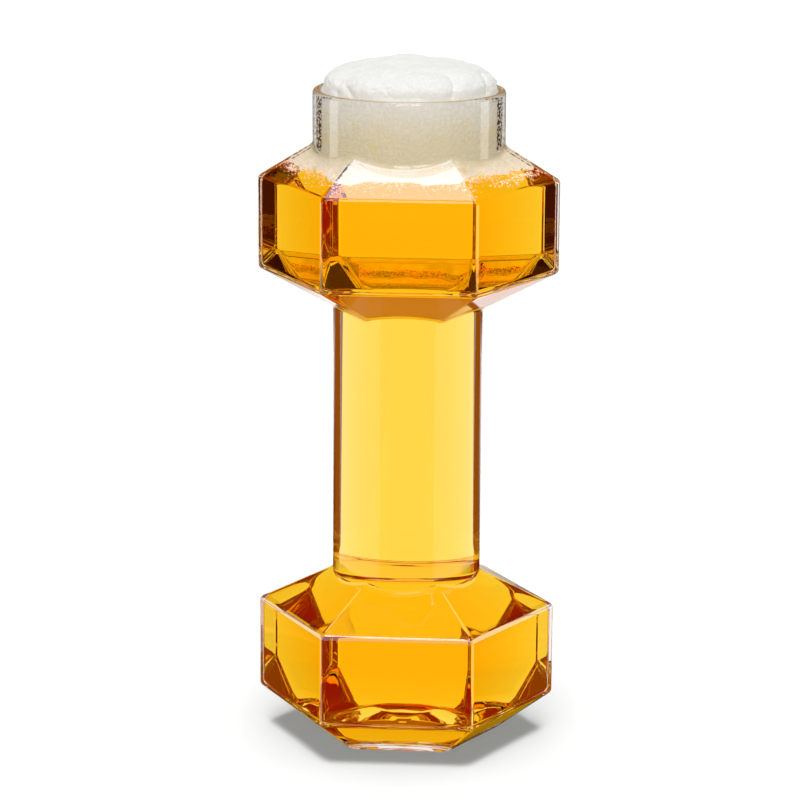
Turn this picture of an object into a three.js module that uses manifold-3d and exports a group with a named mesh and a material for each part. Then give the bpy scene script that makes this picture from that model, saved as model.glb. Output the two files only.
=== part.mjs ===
// A dumbbell beer glass, poured: one blown vessel with two six-sided heads on a hollow handle, the beer
// that fills it and the head of foam on top. Millimetres, +Z up, origin at the middle of the foot.
// The hexagons have corners on the X axis and flats towards +Y and -Y.
import * as THREE from "three";
import { mergeVertices } from "three/addons/utils/BufferGeometryUtils.js";
import Module from "manifold-3d";

// Outside of the vessel, from the foot up
const FOOT_ACROSS_CORNERS = 60; // flat hexagon that the glass stands on
const FOOT_BEVEL_HEIGHT = 12.6; // foot to the lower head's lower corners
const LOWER_ACROSS_CORNERS = 95;
const LOWER_WALL_HEIGHT = 29.2; // upright facets of the lower head
const LOWER_SHOULDER_ANGLE = 28.5; // degrees above the horizontal
const HANDLE_DIAMETER = 47;
const HEAD_SPACING = 108.6; // lower head's upper corners to the upper head's lower corners
const UPPER_BELLY_ANGLE = 30.5; // underside facets of the upper head
const UPPER_ACROSS_CORNERS = 95;
const UPPER_WALL_HEIGHT = 29.2;
const UPPER_SHOULDER_ANGLE = 35.5;
const NECK_DIAMETER = 60;
const NECK_RISE = 28; // upper head's upper corners to the rim

// Glass
const HEAD_WALL = 2;
const HANDLE_WALL = 3.2;
const RIM_WALL = 2.7;
const BASE_THICKNESS = 5;
const EDGE_RADIUS = 1.8; // outside edges of the facets
const FOOT_EDGE_RADIUS = 1.2;
const LIP_RADIUS = 1.2; // both edges of the rim
const HOLLOW_CORNER_RADIUS = 3; // upright corners of the hollow
const HOLLOW_EDGE_RADIUS = 1.5; // where the hollow's walls meet its slopes and floor
const FLOOR_CORNER_RADIUS = 9; // corners of the hollow where it meets the floor
const PUNT_DIAMETER = 40; // shallow recess under the foot
const PUNT_DEPTH = 2.5;
const KICK_DIAMETER = 44; // dome that the punt raises in the floor
const KICK_RISE = 4;

// Contents
const BEER_ABOVE_CORNERS = 3; // beer's surface above the upper head's upper corners
const FOAM_RISE = 9.5; // top of the foam above the rim
const FOAM_SKIRT = 3; // how far the dome's upright side starts below the lip
const FOAM_DOME_POWER = 2.7; // 2 is an ellipse, larger is a flatter top with fuller sides
const FILL_CLEARANCE = 0.3; // beer to glass, foam to glass and foam to beer

// How finely round forms are divided
const ROUND_SEGMENTS = 48;
const EDGE_SEGMENTS = 3;
const CAP_SEGMENTS = 6;
const OUTER_CORNER_SEGMENTS = 3;
const HOLLOW_CORNER_SEGMENTS = 5;
const OVERLAP = 1; // how far joined and cutting solids reach into each other
const LEAST_FLAT = 0.5; // shortest flat that a rounded hexagon keeps between two corners

// Levels and angles that follow
const LOWER_BOTTOM = FOOT_BEVEL_HEIGHT;
const LOWER_TOP = LOWER_BOTTOM + LOWER_WALL_HEIGHT;
const UPPER_BOTTOM = LOWER_TOP + HEAD_SPACING;
const UPPER_TOP = UPPER_BOTTOM + UPPER_WALL_HEIGHT;
const RIM = UPPER_TOP + NECK_RISE;
const BEER_LEVEL = UPPER_TOP + BEER_ABOVE_CORNERS;
const LOWER_SHOULDER = THREE.MathUtils.degToRad(LOWER_SHOULDER_ANGLE);
const UPPER_BELLY = THREE.MathUtils.degToRad(UPPER_BELLY_ANGLE);
const UPPER_SHOULDER = THREE.MathUtils.degToRad(UPPER_SHOULDER_ANGLE);
const HALF_SECTOR = Math.PI / 6;

const apothem = (acrossCorners) => (acrossCorners / 2) * Math.cos(HALF_SECTOR);
const FOOT_APOTHEM = apothem(FOOT_ACROSS_CORNERS);
const LOWER_APOTHEM = apothem(LOWER_ACROSS_CORNERS);
const UPPER_APOTHEM = apothem(UPPER_ACROSS_CORNERS);
const FOOT_BEVEL = Math.atan2(FOOT_BEVEL_HEIGHT, LOWER_APOTHEM - FOOT_APOTHEM);

const wasm = await Module();
wasm.setup();

// A closed three.js geometry as a solid that can be joined and cut.
function solidOf(geometry) {
  geometry.deleteAttribute("normal");
  geometry.deleteAttribute("uv");
  const merged = mergeVertices(geometry, 1e-4);
  return new wasm.Manifold(
    new wasm.Mesh({
      numProp: 3,
      vertProperties: new Float32Array(merged.attributes.position.array),
      triVerts: new Uint32Array(merged.index.array),
    }),
  );
}

// A solid turned about the Z axis from a profile of [radius, z] points that runs up from axis to axis.
function revolve(profile) {
  const points = profile.map(([radius, z]) => new THREE.Vector2(radius, z));
  return solidOf(new THREE.LatheGeometry(points, ROUND_SEGMENTS).rotateX(Math.PI / 2));
}

// A plain round bar from one level to another.
function bar(radius, from, to) {
  return revolve([[0, from], [radius, from], [radius, to], [0, to]]);
}

// Points of a quarter round about a centre, in the plane of a profile.
function quarter([x, z], radius, startAngle, endAngle) {
  const arc = new THREE.EllipseCurve(x, z, radius, radius, startAngle, endAngle, endAngle < startAngle);
  return arc.getPoints(2 * EDGE_SEGMENTS).map((p) => [p.x, p.y]);
}

// One level of a six-sided form: a hexagon with rounded corners, as a list of points.
function hexagonRing(flat, z, cornerRadius, segments) {
  const roundest = flat - LEAST_FLAT / 2 / Math.tan(HALF_SECTOR);
  const radius = Math.min(cornerRadius, roundest);
  const centre = (flat - radius) / Math.cos(HALF_SECTOR);
  const ring = [];
  for (let corner = 0; corner < 6; corner++) {
    const facing = (corner * Math.PI) / 3;
    for (let step = 0; step <= segments; step++) {
      const turn = facing + HALF_SECTOR * ((2 * step) / segments - 1);
      const x = centre * Math.cos(facing) + radius * Math.cos(turn);
      const y = centre * Math.sin(facing) + radius * Math.sin(turn);
      ring.push(x, y, z);
    }
  }
  return ring;
}

// A six-sided solid lofted up a profile of [apothem, z] corners, each rounded by its own radius. The
// rounding of the upright corners may change with height.
function hexagonLoft(corners, cornerRadiusAt, segments) {
  const path = new THREE.Path();
  const point = (corner) => new THREE.Vector2(corner[0], corner[1]);
  path.moveTo(...corners[0]);
  for (let i = 1; i < corners.length - 1; i++) {
    const here = point(corners[i]);
    const before = point(corners[i - 1]).sub(here);
    const after = point(corners[i + 1]).sub(here);
    const halfTurn = (Math.PI - Math.abs(before.angleTo(after))) / 2;
    const room = Math.min(before.length(), after.length()) / 2;
    const reach = Math.min(corners[i][2] * Math.tan(halfTurn), room);
    const start = before.setLength(reach).add(here);
    const end = after.setLength(reach).add(here);
    path.lineTo(start.x, start.y);
    path.quadraticCurveTo(here.x, here.y, end.x, end.y);
  }
  path.lineTo(...corners.at(-1));
  const rows = path.getPoints(EDGE_SEGMENTS);
  const rings = rows.map((row) => hexagonRing(row.x, row.y, cornerRadiusAt(row.y), segments));
  const around = rings[0].length / 3;
  const positions = rings.flat();
  const bottom = positions.length / 3;
  positions.push(0, 0, rows[0].y, 0, 0, rows.at(-1).y);
  const index = [];
  for (let i = 0; i < around; i++) {
    const next = (i + 1) % around;
    const last = (rows.length - 1) * around;
    index.push(bottom, next, i, bottom + 1, last + i, last + next);
    for (let row = 0; row < last; row += around) {
      index.push(row + i, row + next, row + around + next);
      index.push(row + i, row + around + next, row + around + i);
    }
  }
  const geometry = new THREE.BufferGeometry();
  geometry.setAttribute("position", new THREE.Float32BufferAttribute(positions, 3));
  geometry.setIndex(index);
  return solidOf(geometry);
}

// Height by which a wall-to-slope corner moves when both faces move inwards by the same distance.
const cornerShift = (inset, slope) => (inset * (1 - Math.sin(slope))) / Math.cos(slope);

// Where a slope that starts at [flat, z] has run far enough in to end inside a round bar.
function slopeEnd(flat, z, slope, barRadius, direction) {
  const end = barRadius * Math.cos(HALF_SECTOR) - OVERLAP;
  return [end, z + direction * (flat - end) * Math.tan(slope)];
}

// Lower head, moved inwards from its outside faces: foot or floor, bevel, upright facets and shoulder.
function lowerHead(inset, floor, tubeRadius, edges, cornerRadiusAt, segments) {
  const flat = LOWER_APOTHEM - inset;
  const bottom = LOWER_BOTTOM + cornerShift(inset, FOOT_BEVEL);
  const top = LOWER_TOP - cornerShift(inset, LOWER_SHOULDER);
  const floorFlat = flat - (bottom - floor) / Math.tan(FOOT_BEVEL);
  const corners = [
    [floorFlat / 2, floor],
    [floorFlat, floor, edges.floor],
    [flat, bottom, edges.wall],
    [flat, top, edges.wall],
    slopeEnd(flat, top, LOWER_SHOULDER, tubeRadius, 1),
  ];
  return hexagonLoft(corners, cornerRadiusAt, segments);
}

// Upper head, moved inwards from its outside faces: belly, upright facets and shoulder.
function upperHead(inset, tubeRadius, neckRadius, edges, cornerRadiusAt, segments) {
  const flat = UPPER_APOTHEM - inset;
  const bottom = UPPER_BOTTOM + cornerShift(inset, UPPER_BELLY);
  const top = UPPER_TOP - cornerShift(inset, UPPER_SHOULDER);
  const corners = [
    slopeEnd(flat, bottom, UPPER_BELLY, tubeRadius, -1),
    [flat, bottom, edges.wall],
    [flat, top, edges.wall],
    slopeEnd(flat, top, UPPER_SHOULDER, neckRadius, 1),
  ];
  return hexagonLoft(corners, cornerRadiusAt, segments);
}

// The vessel's outside as one solid, with the outer edge of the rim rounded.
function outside() {
  const edges = { floor: FOOT_EDGE_RADIUS, wall: EDGE_RADIUS };
  const cornerRadiusAt = () => EDGE_RADIUS;
  const handleRadius = HANDLE_DIAMETER / 2;
  const neckRadius = NECK_DIAMETER / 2;
  const lipCentre = [neckRadius - LIP_RADIUS, RIM - LIP_RADIUS];
  const lipEdge = quarter(lipCentre, LIP_RADIUS, 0, Math.PI / 2);
  const neck = [[0, UPPER_TOP], [neckRadius, UPPER_TOP], ...lipEdge, [0, RIM]];
  return lowerHead(0, 0, handleRadius, edges, cornerRadiusAt, OUTER_CORNER_SEGMENTS)
    .add(bar(handleRadius, LOWER_TOP, UPPER_BOTTOM))
    .add(upperHead(0, handleRadius, neckRadius, edges, cornerRadiusAt, OUTER_CORNER_SEGMENTS))
    .add(revolve(neck));
}

// A cap of a sphere that stands on a level, grown all round by a clearance and sunk a little below.
function sphereCap(diameter, rise, level, clearance) {
  const half = diameter / 2;
  const sphere = (half * half + rise * rise) / (2 * rise) + clearance;
  const centre = level + rise + clearance - sphere;
  const widest = Math.acos((level - OVERLAP - centre) / sphere);
  const profile = [[0, level - OVERLAP]];
  for (let step = CAP_SEGMENTS; step > 0; step--) {
    const turn = (widest * step) / CAP_SEGMENTS;
    profile.push([sphere * Math.sin(turn), centre + sphere * Math.cos(turn)]);
  }
  profile.push([0, centre + sphere]);
  return revolve(profile);
}

// The hollow of the vessel as one solid up to the lip, drawn in by a clearance for what fills it.
function hollow(clearance) {
  const inset = HEAD_WALL + clearance;
  const floor = BASE_THICKNESS + clearance;
  const bore = HANDLE_DIAMETER / 2 - HANDLE_WALL - clearance;
  const mouth = NECK_DIAMETER / 2 - RIM_WALL - clearance;
  const edges = { floor: HOLLOW_EDGE_RADIUS, wall: HOLLOW_EDGE_RADIUS };
  const wallStart = LOWER_BOTTOM + HEAD_WALL;
  const cornerRadiusAt = (z) => {
    const down = THREE.MathUtils.clamp((wallStart - z) / (wallStart - BASE_THICKNESS), 0, 1);
    return THREE.MathUtils.lerp(HOLLOW_CORNER_RADIUS, FLOOR_CORNER_RADIUS, down) - clearance;
  };
  return lowerHead(inset, floor, bore, edges, cornerRadiusAt, HOLLOW_CORNER_SEGMENTS)
    .subtract(sphereCap(KICK_DIAMETER, KICK_RISE, BASE_THICKNESS, clearance))
    .add(bar(bore, LOWER_TOP - inset, UPPER_BOTTOM + inset))
    .add(upperHead(inset, bore, mouth, edges, cornerRadiusAt, HOLLOW_CORNER_SEGMENTS))
    .add(bar(mouth, UPPER_TOP - inset, RIM - LIP_RADIUS));
}

// The inner edge of the rim, rounded outwards and open above.
function lip() {
  const mouth = NECK_DIAMETER / 2 - RIM_WALL;
  const start = RIM - LIP_RADIUS - OVERLAP;
  const centre = [mouth + LIP_RADIUS, RIM - LIP_RADIUS];
  const flare = quarter(centre, LIP_RADIUS, Math.PI, Math.PI / 2);
  const above = RIM + OVERLAP;
  return revolve([[0, start], [mouth, start], ...flare, [mouth + LIP_RADIUS, above], [0, above]]);
}

// The foam's dome: an upright skirt from inside the neck under a fuller-than-elliptic cap.
function foamDome() {
  const radius = NECK_DIAMETER / 2 - RIM_WALL - FILL_CLEARANCE;
  const start = RIM - LIP_RADIUS - FOAM_SKIRT;
  const shoulder = RIM + LIP_RADIUS;
  const rise = FOAM_RISE - LIP_RADIUS;
  const full = 2 / FOAM_DOME_POWER;
  const profile = [[0, start], [radius, start]];
  for (let step = 0; step < CAP_SEGMENTS; step++) {
    const turn = (Math.PI / 2) * (step / CAP_SEGMENTS);
    profile.push([radius * Math.cos(turn) ** full, shoulder + rise * Math.sin(turn) ** full]);
  }
  profile.push([0, shoulder + rise]);
  return revolve(profile);
}

// A finished solid as a named mesh with its own finish.
function meshOf(name, solid, finish) {
  const { vertProperties, triVerts } = solid.getMesh();
  const geometry = new THREE.BufferGeometry();
  geometry.setAttribute("position", new THREE.BufferAttribute(vertProperties, 3));
  geometry.setIndex(new THREE.BufferAttribute(triVerts, 1));
  const faceted = geometry.toNonIndexed();
  faceted.computeVertexNormals();
  const mesh = new THREE.Mesh(faceted, new THREE.MeshStandardMaterial(finish));
  mesh.name = name;
  return mesh;
}

const widest = Math.max(LOWER_ACROSS_CORNERS, UPPER_ACROSS_CORNERS);
const punt = sphereCap(PUNT_DIAMETER, PUNT_DEPTH, 0, 0);
const vessel = outside().subtract(hollow(0)).subtract(lip()).subtract(punt);
const contents = hollow(FILL_CLEARANCE);
const beer = contents.intersect(bar(widest, 0, BEER_LEVEL));
const foam = contents.intersect(bar(widest, BEER_LEVEL + FILL_CLEARANCE, RIM)).add(foamDome());

const beerGlass = new THREE.Group();
beerGlass.add(
  meshOf("glass", vessel, {
    color: 0xeef2f0,
    roughness: 0.03,
    metalness: 0,
    transparent: true,
    opacity: 0.3,
  }),
  meshOf("beer", beer, {
    color: 0xfeb500,
    roughness: 0.03,
    metalness: 0,
    transparent: true,
    opacity: 0.85,
  }),
  meshOf("foam_head", foam, {
    color: 0xf3f4ef,
    roughness: 0.9,
    metalness: 0,
  }),
);

export default beerGlass;
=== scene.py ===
"""Dumbbell beer glass: clear blown vessel, amber lager and a head of foam on a white studio floor.

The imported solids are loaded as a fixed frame. Finer surfaces, worked out on numpy grids from the
same sizes, take their place: the vessel with its rounded facets and one hollow, the beer that wets
the hollow's wall, and the foam with its bubbles. Small bubbles cling to the glass under the foam.
Sizes of the glass are in millimetres, meshes and the studio in metres. +Z is up from the table.
"""

import itertools
import logging
import math
from collections.abc import Callable, Sequence
from dataclasses import dataclass, field, replace
from enum import Enum, IntEnum

import bpy
import numpy as np
from mathutils import Matrix, Vector


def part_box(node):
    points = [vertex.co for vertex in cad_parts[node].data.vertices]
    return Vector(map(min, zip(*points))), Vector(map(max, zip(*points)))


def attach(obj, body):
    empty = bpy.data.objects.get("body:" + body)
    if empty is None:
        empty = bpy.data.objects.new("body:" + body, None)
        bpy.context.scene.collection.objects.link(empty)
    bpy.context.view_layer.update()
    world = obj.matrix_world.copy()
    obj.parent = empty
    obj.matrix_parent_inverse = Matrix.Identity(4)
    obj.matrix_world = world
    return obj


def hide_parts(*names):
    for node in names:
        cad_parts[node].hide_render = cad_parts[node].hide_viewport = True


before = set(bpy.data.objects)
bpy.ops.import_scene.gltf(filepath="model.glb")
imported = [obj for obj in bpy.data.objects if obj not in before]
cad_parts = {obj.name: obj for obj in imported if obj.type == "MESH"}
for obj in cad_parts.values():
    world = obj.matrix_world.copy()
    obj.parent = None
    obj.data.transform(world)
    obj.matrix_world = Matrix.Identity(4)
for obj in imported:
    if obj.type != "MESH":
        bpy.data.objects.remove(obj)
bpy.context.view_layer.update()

LOG = logging.getLogger("beer_glass")
MM = 0.001
SIXTH = math.pi / 3
COS30 = math.cos(math.pi / 6)

# How far a slope's flats run on inside the round part that they meet, in mm.
OVERRUN = 2.5
# Width of a blend between flats and round part that leaves both as they are, in mm.
NO_BLEND = 0.01
# Gap under which two lengths count as the same, in mm.
SAME = 0.01
# Bounces after which a ray that is still inside the glass ends in a warm brown, as trapped light does.
TRAPPED_DEPTH = 24.5
TRAPPED_BROWN = "95450A"
LIGHT_BOUNCES = 48
MIRROR_BOUNCES = 32
# White of the studio's paper and paint as the glass shows it, and its brightness.
PAPER_WHITE = "FFF8F5"
PAPER_LIGHT = 1.10
# Heights above the line of sight at which the sweep gives way to the wall, and brown cards to black.
SWEEP_TOP = 1.27
CARD_SEAM = 0.033

LevelRule = Callable[[np.ndarray], np.ndarray]


class Slot(Enum):
    """The record's nodes, each with a material slot of its own."""

    GLASS = ("glass", "glass")
    BEER = ("beer", "beer")
    FOAM = ("foam_head", "foam")

    @property
    def node(self) -> str:
        """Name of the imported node."""
        return self.value[0]

    @property
    def finish(self) -> str:
        """Name of the record's material slot."""
        return self.value[1]


class GlassZone(IntEnum):
    """Zones of the vessel's surface, each with a glass of its own."""

    POLISHED = 0
    WETTED = 1
    LIP = 2
    CREST = 3
    RIDGE = 4


class FoamZone(IntEnum):
    """Zones of the foam's surface."""

    OPEN = 0
    UNDERSIDE = 1


class Unseen(Enum):
    """Kinds of ray that pass a studio piece by."""

    NONE = ()
    LAMP = ("camera", "diffuse", "shadow")
    BACKLIGHT = ("camera", "diffuse", "shadow", "glossy")


def linear(hex_colour: str) -> tuple[float, float, float, float]:
    """Turn an sRGB hex colour into linear light.

    Args:
        hex_colour: Six hex digits, red first.

    Returns:
        Linear red, green and blue, and an alpha of 1.
    """
    srgb = np.array([int(hex_colour[i : i + 2], 16) for i in (0, 2, 4)]) / 255
    flat = np.where(srgb <= 0.04045, srgb / 12.92, ((srgb + 0.055) / 1.055) ** 2.4)
    return (*map(float, flat), 1.0)


def add_node(
    tree: bpy.types.NodeTree,
    kind: str,
    values: dict[str | int, object] | None = None,
    links: dict[str | int, object] | None = None,
    **settings: object,
) -> bpy.types.Node:
    """Add one shader node.

    Args:
        tree: Node tree that takes the node.
        kind: Blender's name for the node's type, after "ShaderNode".
        values: Socket name or index to the value set on it.
        links: Socket name or index to what feeds it, an output or a node with its first output.
        **settings: Properties of the node itself.

    Returns:
        The new node.
    """
    node = tree.nodes.new("ShaderNode" + kind)
    for name, value in settings.items():
        setattr(node, name, value)
    for socket, value in (values or {}).items():
        node.inputs[socket].default_value = value
    for socket, source in (links or {}).items():
        output = source.outputs[0] if isinstance(source, bpy.types.Node) else source
        tree.links.new(output, node.inputs[socket])
    return node


def blank_material(name: str) -> tuple[bpy.types.Material, bpy.types.NodeTree]:
    """Make a material without nodes.

    Args:
        name: The material's name.

    Returns:
        The material and its empty node tree.
    """
    material = bpy.data.materials.new(name)
    material.use_nodes = True
    material.node_tree.nodes.clear()
    return material, material.node_tree


def mirror_ray(tree: bpy.types.NodeTree) -> bpy.types.Node:
    """Tell a ray mirrored by a surface from one bent through it: glossy, less transmitted.

    Args:
        tree: Node tree that takes the nodes.

    Returns:
        Node whose output is 1 for a mirrored ray and 0 for any other.
    """
    rays = add_node(tree, "LightPath").outputs
    kinds = {0: rays["Is Glossy Ray"], 1: rays["Is Transmission Ray"]}
    return add_node(tree, "Math", links=kinds, operation="SUBTRACT", use_clamp=True)


def mesh_object(name: str, corners: np.ndarray, faces: Sequence[Sequence[int]]) -> bpy.types.Object:
    """Make a mesh object and link it to the scene.

    Args:
        name: Name of the object and its mesh.
        corners: Corners x 3, in metres.
        faces: Numbers of each face's corners.

    Returns:
        The object.
    """
    mesh = bpy.data.meshes.new(name)
    mesh.from_pydata(corners.tolist(), [], faces)
    piece = bpy.data.objects.new(name, mesh)
    bpy.context.scene.collection.objects.link(piece)
    return piece


def dress_faces(
    piece: bpy.types.Object, materials: list[bpy.types.Material], zones: np.ndarray | None = None
) -> None:
    """Give a piece its materials.

    Args:
        piece: The mesh object.
        materials: Materials in the order of their zones.
        zones: Zone of each face, or None where all have the first.
    """
    for material in materials:
        piece.data.materials.append(material)
    if zones is not None:
        piece.data.polygons.foreach_set("material_index", zones.astype(np.int32).ravel())


def unit(vectors: np.ndarray) -> np.ndarray:
    """Vectors of length 1 in the same directions."""
    return vectors / np.maximum(np.linalg.norm(vectors, axis=-1, keepdims=True), 1e-12)


def ramp(values: np.ndarray, start: float, width: float) -> np.ndarray:
    """Values turned to 0 up to a start, rising evenly to 1 over a width."""
    return np.clip((values - start) / width, 0, 1)


def around(radius: np.ndarray, turn: np.ndarray, height: np.ndarray | float) -> np.ndarray:
    """Points at a distance from the axis, an angle about it and a height, which broadcast."""
    columns = np.broadcast_arrays(radius * np.cos(turn), radius * np.sin(turn), height)
    return np.stack(columns, -1)


def run_lengths(points: np.ndarray) -> np.ndarray:
    """Distance of each row from the first, added up along the first column."""
    gaps = np.linalg.norm(np.diff(points[:, 0], axis=0), axis=1)
    return np.concatenate([[0], np.cumsum(gaps)])


@dataclass(frozen=True)
class Bend:
    """A corner of an upright outline, in mm.

    Attributes:
        reach: Distance from the axis to the flat, or to the wall of a round part.
        level: Height above the table.
        radius: Radius that rounds the corner.
        step: Longest step between rows on the run that leads here.
    """

    reach: float
    level: float
    radius: float = 0.0
    step: float = 6.0


@dataclass(frozen=True)
class Outline:
    """Rows of an upright outline, in mm, with their direction along the outline.

    Attributes:
        flat: Distance from the axis to the six flats.
        tube: Radius of the round part that passes through the flats, or 0.
        level: Height above the table.
        heading: Unit steps of flat, tube and level along the outline, one row each.
    """

    flat: np.ndarray
    tube: np.ndarray
    level: np.ndarray
    heading: np.ndarray

    def reversed(self) -> "Outline":
        """The same rows, taken from the far end."""
        return Outline(self.flat[::-1], self.tube[::-1], self.level[::-1], -self.heading[::-1])

    def then(self, other: "Outline") -> "Outline":
        """These rows, then the other's without its first, which both share."""
        names = ("flat", "tube", "level", "heading")
        return Outline(*(np.concatenate([getattr(self, n), getattr(other, n)[1:]]) for n in names))


def trace(bends: list[Bend], arc_rows: int = 6) -> tuple[np.ndarray, np.ndarray]:
    """Trace straight runs between bends, each bend rounded by an arc tangent to both its runs.

    An arc starts radius x tan(turn / 2) before its bend and turns about a centre that stands a
    radius to the side of that start.

    Args:
        bends: Corners in order.
        arc_rows: Rows inside each arc.

    Returns:
        Points (reach, level) and unit directions, one row each.
    """
    at = np.array([(bend.reach, bend.level) for bend in bends])
    ahead = unit(np.diff(at, axis=0))
    points, ways = [], []
    start = at[0]
    for index, bend in enumerate(bends[1:], 1):
        before = ahead[index - 1]
        last = index == len(bends) - 1
        after = before if last else ahead[index]
        turn = math.atan2(before[0] * after[1] - before[1] * after[0], float(before @ after))
        cut = bend.radius * math.tan(abs(turn) / 2)
        end = at[index] - before * cut
        count = max(2, math.ceil(float(np.linalg.norm(end - start)) / bend.step) + 1)
        points.append(start + (end - start) * np.linspace(0, 1, count)[:, None])
        ways.append(np.tile(before, (count, 1)))
        if last:
            break
        angle = np.linspace(0, turn, arc_rows + 2)[1:-1]
        spin = np.stack([np.cos(angle), -np.sin(angle), np.sin(angle), np.cos(angle)], 1)
        spin = spin.reshape(-1, 2, 2)
        side = math.copysign(1, turn) * np.array([-before[1], before[0]])
        points.append(end + bend.radius * (side - spin @ side))
        ways.append(spin @ before)
        start = at[index] + after * cut
    return np.concatenate(points), np.concatenate(ways)


def flat_outline(bends: list[Bend], tube_at: LevelRule) -> Outline:
    """An outline whose bends move the flats, while a round part of given radius passes through.

    Args:
        bends: Corners in order.
        tube_at: Gives the round part's radius at an array of levels.

    Returns:
        The rows.
    """
    points, ways = trace(bends)
    heading = np.stack([ways[:, 0], np.zeros(len(ways)), ways[:, 1]], 1)
    return Outline(points[:, 0], tube_at(points[:, 1]), points[:, 1], heading)


def round_outline(bends: list[Bend], flat: float) -> Outline:
    """An outline whose bends move the round part, while the flats stay hidden inside it.

    Args:
        bends: Corners in order.
        flat: Distance from the axis to the hidden flats.

    Returns:
        The rows.
    """
    points, ways = trace(bends)
    heading = np.stack([np.zeros(len(ways)), ways[:, 0], ways[:, 1]], 1)
    return Outline(np.full(len(points), flat), points[:, 0], points[:, 1], heading)


def ring_radius(
    angle: np.ndarray, flat: np.ndarray, tube: np.ndarray, corner: np.ndarray, blend: float | np.ndarray
) -> np.ndarray:
    """Distance from the axis to a rounded hexagon joined with a circle, seen at an angle.

    The hexagon is flat / cos(angle off the flat's middle), and within its rounded corners the far
    side of a circle of the corner's radius. Where hexagon and circle come within the blend of each
    other, the larger of the two gains blend x h x (1 - h), with h rising from 0 to 1 across it.

    Args:
        angle: Angles about the axis, with corners at multiples of 60 degrees.
        flat: Distance to the flats.
        tube: Radius of the circle.
        corner: Radius of the hexagon's corners.
        blend: Width over which hexagon and circle run into each other.

    Returns:
        The distances, in the shape that the arguments broadcast to.
    """
    off = np.abs((angle + SIXTH / 2) % SIXTH - SIXTH / 2)
    rounding = np.minimum(corner, 0.999 * flat)
    centre = (flat - rounding) / COS30
    tangent = np.arctan2(rounding / 2, centre + rounding * COS30)
    inside = np.maximum(rounding**2 - (centre * np.sin(off)) ** 2, 0)
    arc = centre * np.cos(off) + np.sqrt(inside)
    hexagon = np.where(off < tangent, arc, flat / np.cos(SIXTH / 2 - off))
    share = np.clip(0.5 + 0.5 * (hexagon - tube) / blend, 0, 1)
    return tube + (hexagon - tube) * share + blend * share * (1 - share)


def sector_angles(per_sector: int, least_step: float, power: float) -> np.ndarray:
    """Angles round the axis, crowded at the six corners.

    Within a sector the angle off its corner is a mix of u and u to a power, with u from -1 to 1.

    Args:
        per_sector: Columns in a sixth of the turn.
        least_step: Share of the plain u, which sets the smallest step.
        power: How strongly the columns crowd at the corner.

    Returns:
        Angles of all the columns, rising.
    """
    u = np.arange(per_sector) / per_sector * 2 - 1
    bent = np.sign(u) * (least_step * np.abs(u) + (1 - least_step) * np.abs(u) ** power)
    return (bent[None, :] * SIXTH / 2 + np.arange(6)[:, None] * SIXTH).ravel()


@dataclass
class RingSurface:
    """A surface of rings that follow an outline.

    Attributes:
        outline: Rows.
        corner_at: Gives the corner radius at an array of levels.
        blend: Width over which flats and round part run into each other, or a column of widths.
        angle: Columns.
    """

    outline: Outline
    corner_at: LevelRule
    blend: float | np.ndarray
    angle: np.ndarray

    def points(self, along: float = 0.0, round_axis: float = 0.0) -> np.ndarray:
        """Points of all rows and columns, moved a little along either parameter.

        Args:
            along: Step along the outline, in mm.
            round_axis: Step round the axis, in radians.

        Returns:
            Array of rows x columns x 3, in mm.
        """
        rows = self.outline
        flat, tube, level = (
            (plain + along * rows.heading[:, place])[:, None]
            for place, plain in enumerate((rows.flat, rows.tube, rows.level))
        )
        turn = self.angle[None, :] + round_axis
        return around(ring_radius(turn, flat, tube, self.corner_at(level), self.blend), turn, level)

    def normals(self) -> np.ndarray:
        """Outward unit normals: the cross product of small steps round the axis and along the outline.

        Returns:
            Array of rows x columns x 3.
        """
        step, turn = 0.01, 2e-4
        sideways = self.points(round_axis=turn) - self.points(round_axis=-turn)
        return unit(np.cross(sideways, self.points(along=step) - self.points(along=-step)))


def ring_mesh(name: str, points: np.ndarray, normals: np.ndarray | None = None) -> bpy.types.Object:
    """Turn rings into a closed mesh: a fan, quads between rings, and a fan at the far end.

    Args:
        name: Name of the object and its mesh.
        points: Rows x columns x 3 in mm; the first and last row each lie in one point.
        normals: Shading normals of the same shape, or None for the mesh's own.

    Returns:
        The object, linked to the scene.
    """
    rows, columns = points.shape[:2]
    ring = np.arange(columns)
    onward = np.roll(ring, -1)
    first = 1 + columns * np.arange(rows - 2)[:, None]
    low, high = first[:-1], first[1:]
    quads = np.stack([low + ring, low + onward, high + onward, high + ring], -1).reshape(-1, 4)
    top = 1 + columns * (rows - 2)
    under = np.stack([np.zeros_like(ring), 1 + onward, 1 + ring], -1)
    over = np.stack([first[-1] + ring, first[-1] + onward, np.full_like(ring, top)], -1)
    corners = np.concatenate([points[0, :1], points[1:-1].reshape(-1, 3), points[-1, :1]])
    piece = mesh_object(name, corners * MM, under.tolist() + quads.tolist() + over.tolist())
    piece.data.shade_smooth()
    if normals is not None:
        shading = np.concatenate([[[0, 0, -1]], normals[1:-1].reshape(-1, 3), [[0, 0, 1]]])
        piece.data.normals_split_custom_set_from_vertices(shading.tolist())
    piece.data.validate()
    return piece


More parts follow.
